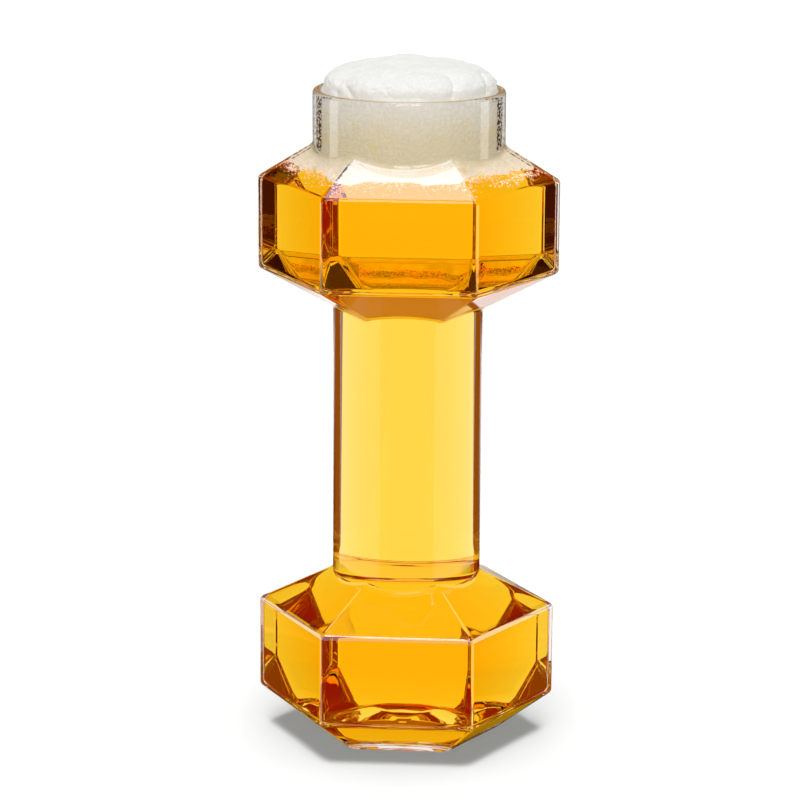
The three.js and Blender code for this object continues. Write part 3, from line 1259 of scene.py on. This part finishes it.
@dataclass
class FoamHead:
    """The foam, in mm: from the shoulder through the neck to a dome above the rim.

    Attributes:
        vessel: The glass round it.
        beer: The beer below it.
        grow: How far it reaches into the glass.
        dip: How far it reaches into the beer.
        dome_power: Power of the dome's superellipse.
        skirt: How far below the rim the round, free foam starts.
        shoulder: How far above the rim the dome starts.
        row: Step between rows.
        dome_rows: Rows of the dome.
        columns: Columns.
        fade: Distance over which the wandering of the foam's edge dies away.
        cell: Spacing of the bubbles on the glass.
        cleft: Depth of the clefts between them.
        cleft_span: Distance from a bubble's middle at which a cleft starts, and its width, in bubbles.
        bulge: Height of the bubbles at the dome's foot.
        bulge_reach: Radius of those bubbles, in bubbles.
        bulge_sink: Share of that height by which they are lowered.
        bulge_span: Share of the mouth's radius at which they start, and width over which they come up.
        billow: Height of the dome's round lumps.
        ripple: Height of its small unevenness.
        sink: How far the dome is lowered to make room for both.
        rim_drop: How far below the rim the foam leaves the glass.
        rim_fade: Height over which bubbles on the glass give way to lumps.
        billows: Waves whose zero lines are the creases between the round lumps.
        ripples: Waves of the small unevenness.
        rise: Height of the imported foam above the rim.
    """

    vessel: Vessel
    beer: Beer
    grow: float = 0.08
    dip: float = 0.3
    dome_power: float = 2.3
    skirt: float = 3.0
    shoulder: float = 1.2
    row: float = 0.36
    dome_rows: int = 60
    columns: int = 480
    fade: float = 2.5
    cell: float = 1.1
    cleft: float = 0.34
    cleft_span: tuple[float, float] = (0.34, 0.2)
    bulge: float = 0.3
    bulge_reach: float = 0.75
    bulge_sink: float = 0.6
    bulge_span: tuple[float, float] = (0.62, 0.3)
    billow: float = 1.2
    ripple: float = 0.2
    sink: float = 1.2
    rim_drop: float = 0.5
    rim_fade: float = 1.5
    billows: Waves = Waves(10, 22, 26, 58)
    ripples: Waves = Waves(2.2, 5, 30, 4)
    rise: float = field(init=False)
    edge_row: int = field(init=False)

    def __post_init__(self) -> None:
        """Take the dome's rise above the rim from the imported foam."""
        self.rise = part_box(Slot.FOAM.node)[1].z / MM - self.vessel.rim

    @property
    def reach(self) -> float:
        """Radius of the foam in the neck."""
        return self.vessel.mouth + self.grow

    @property
    def free(self) -> float:
        """Level from which the foam is round and free."""
        return self.vessel.rim - self.skirt

    def tube_at(self, level: np.ndarray) -> np.ndarray:
        """Radius of the foam in the neck, from 1 mm above the foam's lower edge."""
        return np.where(level > self.beer.edge_level - self.dip + 1, self.reach, 0.0)

    def side(self) -> Outline:
        """The foam on the beer and on the glass, up to where it is free.

        Returns:
            The rows, from the axis outwards and up.
        """
        under = self.beer.top_bends(self.grow, self.dip)[::-1]
        collar = replace(self.vessel.hollow_bends(self.grow)[-1], step=self.row)
        return flat_outline([*under, collar, Bend(collar.reach, self.free, 0, self.row)], self.tube_at)

    def dome(self) -> Outline:
        """The free foam: upright past the rim, then a dome.

        With t from 0 to a quarter turn, the dome's radius goes with cos(t) and its height with
        sin(t), both to the power of 2 / dome_power.

        Returns:
            The rows, rising to the axis.
        """
        turn = np.linspace(0, math.pi / 2, self.dome_rows)
        start = self.vessel.rim + self.shoulder
        upright = np.arange(self.free, start, self.row)
        narrowing = self.reach * np.cos(turn) ** (2 / self.dome_power)
        narrowing[-1] = 0.0
        rising = start + (self.rise - self.shoulder) * np.sin(turn) ** (2 / self.dome_power)
        tube = np.concatenate([np.full(len(upright), self.reach), narrowing])
        return Outline(tube / 2, tube, np.concatenate([upright, rising]), np.zeros((len(tube), 3)))

    def build(self) -> bpy.types.Object:
        """Build the foam: a level underside, bubbles pressed on the glass, and a lumpy dome.

        Returns:
            The foam.
        """
        side = self.side()
        outline = side.then(self.dome())
        blend = np.where(outline.level < self.free, self.vessel.hollow_blend, NO_BLEND)[:, None]
        angle = np.linspace(0, 2 * math.pi, self.columns, endpoint=False)
        points = RingSurface(outline, self.vessel.hollow_corner_at, blend, angle).points()
        self.edge_row = int(np.argmax(side.flat))
        self.beer.wander_edge(points, outline, self.edge_row, self.fade)
        return ring_mesh("foam", points + self.relief(points, outline))

    def bubble_gaps(self, points: np.ndarray) -> np.ndarray:
        """Distance from the nearest bubble's middle, in bubbles.

        Args:
            points: Rows x columns x 3, in mm.

        Returns:
            Distances, rows x columns.
        """
        count = round(2 * math.pi * self.vessel.mouth / self.cell)
        across = np.arange(self.columns) * count / self.columns
        up = (run_lengths(points) / self.cell)[:, None]
        return cells(*np.broadcast_arrays(across, up), count, seed=11)

    def relief(self, points: np.ndarray, outline: Outline) -> np.ndarray:
        """Move the foam's surface: clefts between bubbles on the glass, bubbles and lumps on the dome.

        A lump is the root of a wave's size, which leaves round swellings with creases between.

        Args:
            points: Rows x columns x 3, in mm.
            outline: The rows.

        Returns:
            Steps to add to the points.
        """
        gap = self.bubble_gaps(points)
        normal = unit(np.cross(np.gradient(points, axis=1), np.gradient(points, axis=0)))
        normal[0], normal[-1] = (0, 0, -1), (0, 0, 1)
        level = outline.level[:, None]
        below_rim = self.vessel.rim - self.rim_drop
        wetting = ramp(level, self.beer.edge_level, self.rim_fade)
        touching = wetting * ramp(-level, -below_rim, self.rim_fade)
        above = ramp(level, below_rim, self.rim_fade)
        outer = ramp(np.hypot(points[..., 0], points[..., 1]) / self.vessel.mouth, *self.bulge_span)
        bubble = np.sqrt(np.clip(1 - (gap / self.bulge_reach) ** 2, 0, 1)) - self.bulge_sink
        lumps = self.billow * np.sqrt(np.abs(self.billows.at(points)))
        lumps += self.ripple * self.ripples.at(points) - self.sink
        pressed = -self.cleft * ramp(gap, *self.cleft_span) * touching
        depth = pressed + above * (lumps + self.bulge * bubble * outer)
        return normal * depth[..., None]

    def dress(self, piece: bpy.types.Object) -> None:
        """Give the foam its matt, bubbly white, and its underside the light that soaks through.

        Args:
            piece: The built foam.
        """
        zones = np.full((len(piece.data.polygons) // self.columns, self.columns), FoamZone.OPEN)
        zones[: self.edge_row] = FoamZone.UNDERSIDE
        dress_faces(piece, [BeerFoam().material(), LitFoam().material()], zones)


@dataclass(frozen=True)
class Raft:
    """A patch of larger bubbles on the shoulder.

    Attributes:
        azimuth: Direction from the axis, about +Z from +X, in degrees.
        level: Height above the table, in mm.
        size: Spread of its bubbles, in mm.
    """

    azimuth: float
    level: float
    size: float


@dataclass
class Fizz:
    """Bubbles that cling to the glass under the foam's edge, in mm: dense at the edge, fewer below it.

    Attributes:
        vessel: The glass that they cling to.
        beer: The beer that they are in.
        count: Number of bubbles, without the rafts.
        least: Smallest radius.
        most: Largest radius.
        start: How far above the beer's edge they start.
        spread: Mean depth of a bubble below that start.
        reach: Distance from the axis at which their spread is drawn.
        gather: Waves by which they gather.
        gathering: How strongly they gather.
        rafts: Patches of larger bubbles.
        raft_count: Bubbles in each patch.
        raft_size: How much larger those bubbles are.
        raft_width: How much wider than its size a patch is drawn.
        lift: Gap between a bubble and the glass.
        floor_gap: How far above the shoulder's foot the lowest bubbles stay.
        seed: Seed of the random draws.
    """

    vessel: Vessel
    beer: Beer
    count: int = 4200
    least: float = 0.08
    most: float = 0.21
    start: float = 0.4
    spread: float = 0.8
    reach: float = 34.0
    gather: Waves = Waves(6, 20, 20, 5)
    gathering: float = 0.8
    rafts: tuple[Raft, ...] = (Raft(-28.0, 180.9, 2.6), Raft(-12.0, 181.2, 1.9), Raft(-168.0, 182.0, 1.5))
    raft_count: int = 90
    raft_size: float = 1.5
    raft_width: float = 1.6
    lift: float = 0.05
    floor_gap: float = 0.5
    seed: int = 23

    @staticmethod
    def ball() -> tuple[np.ndarray, np.ndarray]:
        """Make a small ball: an octahedron with each face cut in four, its corners moved out to the ball.

        Returns:
            Corners, and corner numbers of the faces.
        """
        corners, faces = [], []
        for signs in itertools.product((1, -1), repeat=3):
            a, b, c = np.diag(signs)
            if math.prod(signs) < 0:
                a, b = b, a
            first = len(corners)
            corners += [a, b, c, *unit(np.array([a + b, b + c, c + a]))]
            faces += [[first + i for i in face] for face in ((0, 3, 5), (3, 1, 4), (5, 4, 2), (3, 4, 5))]
        merged, place = np.unique(np.round(corners, 6), axis=0, return_inverse=True)
        return merged, place.ravel()[np.array(faces)]

    def scatter(self) -> tuple[np.ndarray, np.ndarray, np.ndarray]:
        """Draw where the bubbles lie and how large they are.

        Returns:
            Angle about the axis, level and radius of each.
        """
        draw = np.random.default_rng(self.seed)
        turn = draw.uniform(0, 2 * math.pi, self.count)
        bunching = 1 + self.gathering * self.gather.at(around(self.reach, turn, 0.0))
        drop = draw.exponential(self.spread, self.count) * bunching
        level = self.beer.edge_level + self.start - np.abs(drop)
        for raft in self.rafts:
            sideways = draw.normal(0, raft.size / self.reach, self.raft_count)
            turn = np.concatenate([turn, math.radians(raft.azimuth) + self.raft_width * sideways])
            level = np.concatenate([level, raft.level + draw.normal(0, raft.size / 4, self.raft_count)])
        size = draw.uniform(self.least, self.most, len(turn))
        size[self.count :] *= self.raft_size
        lowest = self.vessel.shoulder_foot().level + self.floor_gap
        return turn, np.maximum(level, lowest), size

    def build(self) -> bpy.types.Object:
        """Build the bubbles as one mesh of small balls that lie on the shoulder's inner face.

        Returns:
            The bubbles.
        """
        turn, level, size = self.scatter()
        clear = (size + self.lift) / math.sin(self.vessel.shoulder_slope)
        flat = self.vessel.shoulder_flat(level) - clear
        corner = np.full_like(flat, self.vessel.hollow_corner)
        centre = around(ring_radius(turn, flat, np.zeros_like(flat), corner, NO_BLEND), turn, level)
        shape, faces = self.ball()
        points = (centre[:, None, :] + size[:, None, None] * shape[None]).reshape(-1, 3)
        faces = (faces[None] + len(shape) * np.arange(len(turn))[:, None, None]).reshape(-1, 3)
        piece = mesh_object("fizz", points * MM, faces.tolist())
        piece.data.shade_smooth()
        return piece

    def dress(self, piece: bpy.types.Object) -> None:
        """Give the bubbles the foam's wet, matt white, with a strong painted glow that stands in for the
        lamps' light, which the beer's shadow keeps off them.
        """
        dress_faces(piece, [BeerFoam("wet_bubbles_painted_glow", wet="E8D6C0", glow=0.95).material()])


@dataclass(frozen=True)
class LitSheet:
    """An evenly lit paper, card or wall.

    Attributes:
        name: The material's name.
        colour: Its colour.
        strength: Its brightness.
    """

    # To the eye: flat and even, and seen only bent through the glass or mirrored on it.
    name: str
    colour: str
    strength: float = 1.0

    def material(self) -> bpy.types.Material:
        """Make the material: plain light.

        Returns:
            The material.
        """
        material, tree = blank_material(self.name)
        light = {"Color": linear(self.colour), "Strength": self.strength}
        lit = add_node(tree, "Emission", light)
        add_node(tree, "OutputMaterial", links={"Surface": lit})
        return material


@dataclass(frozen=True)
class StudioPaper:
    """White paper on the floor.

    Attributes:
        name: The material's name.
        matt: Colour that the camera sees in the lamps' light.
        plain: Colour that glass shows.
        strength: Brightness of that colour.
        mirror_start: Depth behind the glass, towards +Y, from which and by which mirrored rays find
            the paper white.
        mirror_end: Depth from which and by which they find it dark again.
    """

    # To the eye: bright white, with the soft shadow of beer and foam on it.
    name: str = "white_studio_paper"
    matt: str = "FAFAFA"
    plain: str = PAPER_WHITE
    strength: float = PAPER_LIGHT
    mirror_start: tuple[float, float] = (0.12, 0.3)
    mirror_end: tuple[float, float] = (0.52, 0.62)

    def material(self) -> bpy.types.Material:
        """Make the material: matt for the camera, plain white for rays bent through the glass.

        Mirrored rays find it white only in a patch behind the glass, where depth less distance
        from the middle line is large enough, and dark elsewhere.

        Returns:
            The material.
        """
        material, tree = blank_material(self.name)
        level = self.level(tree)
        plain = add_node(tree, "Emission", {"Color": linear(self.plain)}, {"Strength": level})
        matt = add_node(tree, "BsdfDiffuse", {"Color": linear(self.matt)})
        camera_ray = add_node(tree, "LightPath").outputs["Is Camera Ray"]
        seen = add_node(tree, "MixShader", links={0: camera_ray, 1: plain, 2: matt})
        add_node(tree, "OutputMaterial", links={"Surface": seen})
        return material

    def level(self, tree: bpy.types.NodeTree) -> bpy.types.Node:
        """Work out the paper's brightness for bent and for mirrored rays.

        Args:
            tree: Node tree that takes the nodes.

        Returns:
            Node with the brightness.
        """
        place = add_node(tree, "TexCoord").outputs["Object"]
        axes = add_node(tree, "SeparateXYZ", links={0: place}).outputs
        aside = add_node(tree, "Math", links={0: axes["X"]}, operation="ABSOLUTE")
        inward = add_node(tree, "Math", links={0: axes["Y"], 1: aside}, operation="SUBTRACT")
        low, high = self.mirror_start
        span = {"From Min": low, "From Max": high, "To Max": self.strength}
        behind = add_node(tree, "MapRange", span, {"Value": inward})
        low, high = self.mirror_end
        span = {"From Min": low, "From Max": high, "To Min": 1.0, "To Max": 0.0}
        nearby = add_node(tree, "MapRange", span, {"Value": axes["Y"]})
        patch = add_node(tree, "Math", links={0: behind, 1: nearby}, operation="MULTIPLY")
        either = {"Value": mirror_ray(tree), "To Max": patch}
        return add_node(tree, "MapRange", {"To Min": self.strength}, either)


@dataclass(frozen=True)
class SoftboxFabric:
    """White fabric, lit from within.

    Attributes:
        name: The material's name.
        colour: Colour of its light.
        bent: Brightness for rays bent through the glass.
        mirrored: Brightness for rays mirrored on the glass.
    """

    # To the eye: a cool, bright sheet mirrored in the top facets, dimmer through the glass.
    name: str = "softbox_fabric"
    colour: str = "C8D4FF"
    bent: float = 1.3
    mirrored: float = 6.37

    def material(self) -> bpy.types.Material:
        """Make the material: light of one colour and two strengths.

        Returns:
            The material.
        """
        material, tree = blank_material(self.name)
        span = {"To Min": self.bent, "To Max": self.mirrored}
        power = add_node(tree, "MapRange", span, {"Value": mirror_ray(tree)})
        lit = add_node(tree, "Emission", {"Color": linear(self.colour)}, {"Strength": power})
        add_node(tree, "OutputMaterial", links={"Surface": lit})
        return material


@dataclass(frozen=True)
class GleamFabric:
    """Fabric of a lit panel that shows only as a gleam.

    Attributes:
        name: The material's name.
        strength: Its brightness.
    """

    # To the eye: a soft white gleam on the glass, and nothing through it.
    name: str
    strength: float

    def material(self) -> bpy.types.Material:
        """Make the material: lit for mirrored rays and clear for all others.

        Returns:
            The material.
        """
        material, tree = blank_material(self.name)
        clear = add_node(tree, "BsdfTransparent")
        lit = add_node(tree, "Emission", {"Strength": self.strength})
        seen = add_node(tree, "MixShader", links={0: mirror_ray(tree), 1: clear, 2: lit})
        add_node(tree, "OutputMaterial", links={"Surface": seen})
        return material


def set_stage(piece: bpy.types.Object, unseen: Unseen, camera: bpy.types.Object | None = None) -> None:
    """Hide a studio piece from some rays, and tie it to the camera if one is given.

    Args:
        piece: The piece.
        unseen: Rays that pass it by.
        camera: The camera, if the piece keeps its place to it.
    """
    for ray in unseen.value:
        setattr(piece, f"visible_{ray}", False)
    piece.parent = camera


@dataclass(frozen=True)
class LevelSheet:
    """A level square about the axis.

    Attributes:
        name: The object's name.
        half: Half of its side.
        height: Its height above the table.
        finish: Its paper, fabric or paint.
        unseen: Rays that pass it by.
    """

    name: str
    half: float
    height: float
    finish: LitSheet | StudioPaper | SoftboxFabric
    unseen: Unseen

    def lay(self) -> None:
        """Lay or hang the sheet."""
        sides = np.array([(-1, -1), (1, -1), (1, 1), (-1, 1)])
        corners = np.column_stack([self.half * sides, np.full(len(sides), self.height)])
        sheet = mesh_object(self.name, corners, [tuple(range(len(sides)))])
        dress_faces(sheet, [self.finish.material()])
        set_stage(sheet, self.unseen)


@dataclass(frozen=True)
class GleamPanel:
    """A pair of lit panels, left and right, each part of a ball about a point on the axis.

    Attributes:
        name: The object's name.
        radius: The ball's radius.
        middle: Height of the ball's middle.
        sideways: Range about the axis from the camera's side, in degrees.
        upward: Range above the horizon, in degrees.
        strength: Brightness.
        grid: Columns and rows of each panel.
    """

    name: str
    radius: float
    middle: float
    sideways: tuple[float, float]
    upward: tuple[float, float]
    strength: float
    grid: tuple[int, int] = (9, 5)

    def stand(self, azimuth: float) -> None:
        """Stand the panels: a point's angles about the axis and above the horizon run evenly.

        Args:
            azimuth: Direction from the glass to the camera, in degrees.
        """
        columns, rows = self.grid
        hands = np.array([-1, 1])[:, None, None]
        turn = np.radians(azimuth + hands * np.linspace(*self.sideways, columns)[None, :, None])
        lift = np.radians(np.linspace(*self.upward, rows))[None, None, :]
        corners = around(self.radius * np.cos(lift), turn, self.middle + self.radius * np.sin(lift))
        index = np.arange(2 * columns * rows).reshape(2, columns, rows)
        sides = (index[:, :-1, :-1], index[:, 1:, :-1], index[:, 1:, 1:], index[:, :-1, 1:])
        quads = np.stack(sides, -1).reshape(-1, 4)
        panel = mesh_object(self.name, corners.reshape(-1, 3), quads.tolist())
        dress_faces(panel, [GleamFabric(self.name + "_fabric", self.strength).material()])
        set_stage(panel, Unseen.LAMP)


@dataclass(frozen=True)
class Backdrop:
    """An upright part of a cylinder about the glass, opposite the camera.

    Attributes:
        finish: Its paper or paint.
        half_angle: Half of the angle that it spans, in degrees.
        heights: Its lower and upper edge, above the line of sight.
    """

    finish: LitSheet
    half_angle: float
    heights: tuple[float, float]


@dataclass(frozen=True)
class Card:
    """A flat card at either side of the glass.

    Attributes:
        finish: Its paint.
        heights: Its lower and upper edge, above the line of sight.
    """

    finish: LitSheet
    heights: tuple[float, float]


@dataclass(frozen=True)
class Studio:
    """White floor and ceiling, softbox, cards and lit panels round the glass.

    Attributes:
        azimuth: Direction from the glass to the camera, about +Z from +X, in degrees.
        elevation: Height of the camera above the horizon, in degrees.
        distance: From the camera to the point that it looks at, in mm.
        aim: Point that the camera looks at, in mm.
        roll: Turn about the line of sight, in degrees.
        lens: Focal length on a 36 mm sensor, in mm.
        backdrops: White sweep, and the dim wall above it.
        backdrop_radius: Distance of both from the glass.
        backdrop_columns: Columns of each.
        cards: Brown cards, and black ones above them.
        card_side: Distance of the cards from the line of sight.
        card_depths: Ranges of depth beyond the glass that the cards cover.
        sheets: Floor just under the foot, softbox and ceiling.
        key: Power and spread in degrees of the lamps overhead, which share that power.
        key_tilts: Tilts of these lamps about the X axis, in degrees.
        fill: Power, spread and tilt in degrees of the lamp at the camera's side.
        room: Strength of the room's plain light for matt surfaces, and its colour for gloss and glass.
        gleams: Panels that show only as gleams: on the handle, on the neck and on rounded edges.
    """

    azimuth: float = -85.979
    elevation: float = 13.657
    distance: float = 1027.59
    aim: tuple[float, float, float] = (-2.339, 0.0, 108.184)
    roll: float = 0.342
    lens: float = 145.783
    backdrops: tuple[Backdrop, ...] = (
        Backdrop(LitSheet("white_sweep", PAPER_WHITE, PAPER_LIGHT), 42.0, (-2.6, SWEEP_TOP)),
        Backdrop(LitSheet("dim_wall", "B57319"), 28.0, (SWEEP_TOP, 2.9)),
    )
    backdrop_radius: float = 2.2
    backdrop_columns: int = 33
    cards: tuple[Card, ...] = (
        Card(LitSheet("brown_card", "90521A"), (-0.6, CARD_SEAM)),
        Card(LitSheet("black_card", "301203"), (CARD_SEAM, 0.6)),
    )
    card_side: float = 0.12
    card_depths: tuple[tuple[float, float], ...] = ((0.19, 0.012), (-0.034, -0.5))
    sheets: tuple[LevelSheet, ...] = (
        LevelSheet("studio_floor", 6.0, -0.0003, StudioPaper(), Unseen.NONE),
        LevelSheet("overhead_softbox", 0.3, 1.2, SoftboxFabric(), Unseen.LAMP),
        LevelSheet(
            "white_ceiling",
            1.2,
            1.25,
            LitSheet("white_ceiling_paint", PAPER_WHITE, PAPER_LIGHT),
            Unseen.BACKLIGHT,
        ),
    )
    key: tuple[float, float] = (2.8, 20.0)
    key_tilts: tuple[float, ...] = (-4.0, 4.0, 12.0)
    fill: tuple[float, float, float] = (1.4, 40.0, 67.0)
    room: tuple[float, str] = (0.06, "7B5027")
    gleams: tuple[GleamPanel, ...] = (
        GleamPanel("handle_front", 0.11, 0.080, (0, 38), (-26, 28), 0.5),
        GleamPanel("handle_light", 0.11, 0.080, (38, 118), (-26, 28), 1.25),
        GleamPanel("neck_light", 0.60, 0.104, (92, 107), (-2, 2), 2.2),
        GleamPanel("front_light", 0.60, 0.10, (2, 15), (20, 60), 4.2),
    )

    def build(self) -> None:
        """Set up the camera, then all that stands round the glass, and light it."""
        camera = self.place_camera()
        self.stand_backdrops(camera)
        self.stand_cards(camera)
        for sheet in self.sheets:
            sheet.lay()
        self.light()
        for panel in self.gleams:
            panel.stand(self.azimuth)
        self.fill_room()

    def place_camera(self) -> bpy.types.Object:
        """Place the camera at the photograph's viewing angle.

        Returns:
            The camera.
        """
        az, el = math.radians(self.azimuth), math.radians(self.elevation)
        ahead = -Vector((math.cos(el) * math.cos(az), math.cos(el) * math.sin(az), math.sin(el)))
        right = ahead.cross(Vector((0, 0, 1))).normalized()
        up = right.cross(ahead)
        tilt = math.radians(self.roll)
        across = right * math.cos(tilt) + up * math.sin(tilt)
        upward = up * math.cos(tilt) - right * math.sin(tilt)
        data = bpy.data.cameras.new("photo_camera")
        data.lens, data.sensor_width = self.lens, 36.0
        data.clip_start, data.clip_end = 0.01, 50.0
        camera = bpy.data.objects.new("photo_camera", data)
        turned = Matrix((across, upward, -ahead)).transposed().to_4x4()
        eye = (Vector(self.aim) - ahead * self.distance) * MM
        camera.matrix_world = Matrix.Translation(eye) @ turned
        bpy.context.scene.collection.objects.link(camera)
        bpy.context.scene.camera = camera
        return camera

    def stand_backdrops(self, camera: bpy.types.Object) -> None:
        """Stand sweep and wall behind the glass: in each, the angle about the glass runs evenly.

        Args:
            camera: The camera, to which they keep their place.
        """
        columns = self.backdrop_columns
        corners = []
        for backdrop in self.backdrops:
            turn = np.radians(np.linspace(-backdrop.half_angle, backdrop.half_angle, columns))
            side = self.backdrop_radius * np.sin(turn)
            depth = -self.distance * MM - self.backdrop_radius * np.cos(turn)
            for height in backdrop.heights:
                corners.append(np.column_stack([side, np.full(columns, height), depth]))
        index = np.arange(columns - 1)
        strip = np.stack([index, index + 1, index + columns + 1, index + columns], 1)
        count = len(self.backdrops)
        faces = np.concatenate([strip + 2 * columns * place for place in range(count)])
        panel = mesh_object("lit_panel", np.concatenate(corners), faces.tolist())
        finishes = [backdrop.finish.material() for backdrop in self.backdrops]
        dress_faces(panel, finishes, np.repeat(np.arange(count), columns - 1))
        set_stage(panel, Unseen.BACKLIGHT, camera)

    def stand_cards(self, camera: bpy.types.Object) -> None:
        """Stand dark cards at both sides of the glass, which draw its dark edges.

        Args:
            camera: The camera, to which they keep their place.
        """
        corners, zones = [], []
        for place, card in enumerate(self.cards):
            low, high = card.heights
            for hand, (back, front) in itertools.product((-1, 1), self.card_depths):
                zones.append(place)
                for depth, height in ((back, low), (front, low), (front, high), (back, high)):
                    corners.append((hand * self.card_side, height, -self.distance * MM - depth))
        faces = np.arange(len(corners)).reshape(-1, 4)
        cards = mesh_object("black_cards", np.array(corners), faces.tolist())
        dress_faces(cards, [card.finish.material() for card in self.cards], np.array(zones))
        set_stage(cards, Unseen.LAMP, camera)

    def light(self) -> None:
        """Light floor and foam from above, with a soft-edged shadow, and fill in from the camera's side."""
        power, spread = self.key
        for tilt in self.key_tilts:
            self.sun("overhead_key", power / len(self.key_tilts), spread, (math.radians(tilt), 0, 0))
        power, spread, tilt = self.fill
        turn = (math.radians(tilt), 0, math.radians(self.azimuth + 90))
        self.sun("front_fill", power, spread, turn).use_shadow = False

    @staticmethod
    def sun(name: str, energy: float, spread: float, turn: tuple[float, float, float]) -> bpy.types.Light:
        """Add a wide lamp that neither glass nor gloss shows.

        Args:
            name: Name of the lamp.
            energy: Its power.
            spread: Angle that it spans in the sky, in degrees.
            turn: Its rotation, in radians.

        Returns:
            The lamp's data.
        """
        data = bpy.data.lights.new(name, "SUN")
        data.energy, data.angle = energy, math.radians(spread)
        lamp = bpy.data.objects.new(name, data)
        lamp.rotation_euler = turn
        lamp.visible_glossy = lamp.visible_transmission = False
        bpy.context.scene.collection.objects.link(lamp)
        return data

    def fill_room(self) -> None:
        """White for the camera, a little plain light for matt surfaces, a dark room for gloss and glass."""
        world = bpy.data.worlds.new("studio_room")
        world.use_nodes = True
        tree = world.node_tree
        tree.nodes.clear()
        weak, brown = self.room
        rays = add_node(tree, "LightPath").outputs
        white = add_node(tree, "Background", {"Color": linear("FFFFFF")})
        plain = add_node(tree, "Background", {"Color": linear("FFFFFF"), "Strength": weak})
        dark = add_node(tree, "Background", {"Color": linear(brown)})
        room = add_node(tree, "MixShader", links={0: rays["Is Diffuse Ray"], 1: dark, 2: plain})
        both = add_node(tree, "MixShader", links={0: rays["Is Camera Ray"], 1: room, 2: white})
        add_node(tree, "OutputWorld", links={"Surface": both})
        world.cycles.sampling_method = "NONE"
        bpy.context.scene.world = world


def see_through(piece: bpy.types.Object, casts_shadow: bool) -> None:
    """Let soft light pass through a clear piece, so that it reaches the foam behind it.

    Args:
        piece: Glass or beer.
        casts_shadow: Whether the piece keeps its shadow.
    """
    piece.visible_diffuse = False
    piece.visible_shadow = casts_shadow


def main() -> None:
    """Build and dress the pieces in order, then the studio round them."""
    logging.basicConfig(level=logging.INFO, format="%(name)s: %(message)s")
    vessel = Vessel()
    beer = Beer(vessel)
    foam = FoamHead(vessel, beer)
    for part, slot in ((vessel, Slot.GLASS), (beer, Slot.BEER), (foam, Slot.FOAM)):
        piece = part.build()
        part.dress(piece)
        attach(piece, "root")
        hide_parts(slot.node)
        slot.finish
        if slot is not Slot.FOAM:
            see_through(piece, slot is Slot.BEER)
        LOG.info("%s: %d faces for node %s", piece.name, len(piece.data.polygons), slot.node)
    fizz = Fizz(vessel, beer)
    bubbles = fizz.build()
    fizz.dress(bubbles)
    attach(bubbles, "root")
    Slot.FOAM.finish
    LOG.info("%s: %d faces", bubbles.name, len(bubbles.data.polygons))
    Studio().build()
    scene = bpy.context.scene
    scene.view_settings.view_transform = "Standard"
    scene.cycles.max_bounces = LIGHT_BOUNCES
    scene.cycles.transmission_bounces = LIGHT_BOUNCES
    scene.cycles.glossy_bounces = MIRROR_BOUNCES


if __name__ == "__main__":
    main()
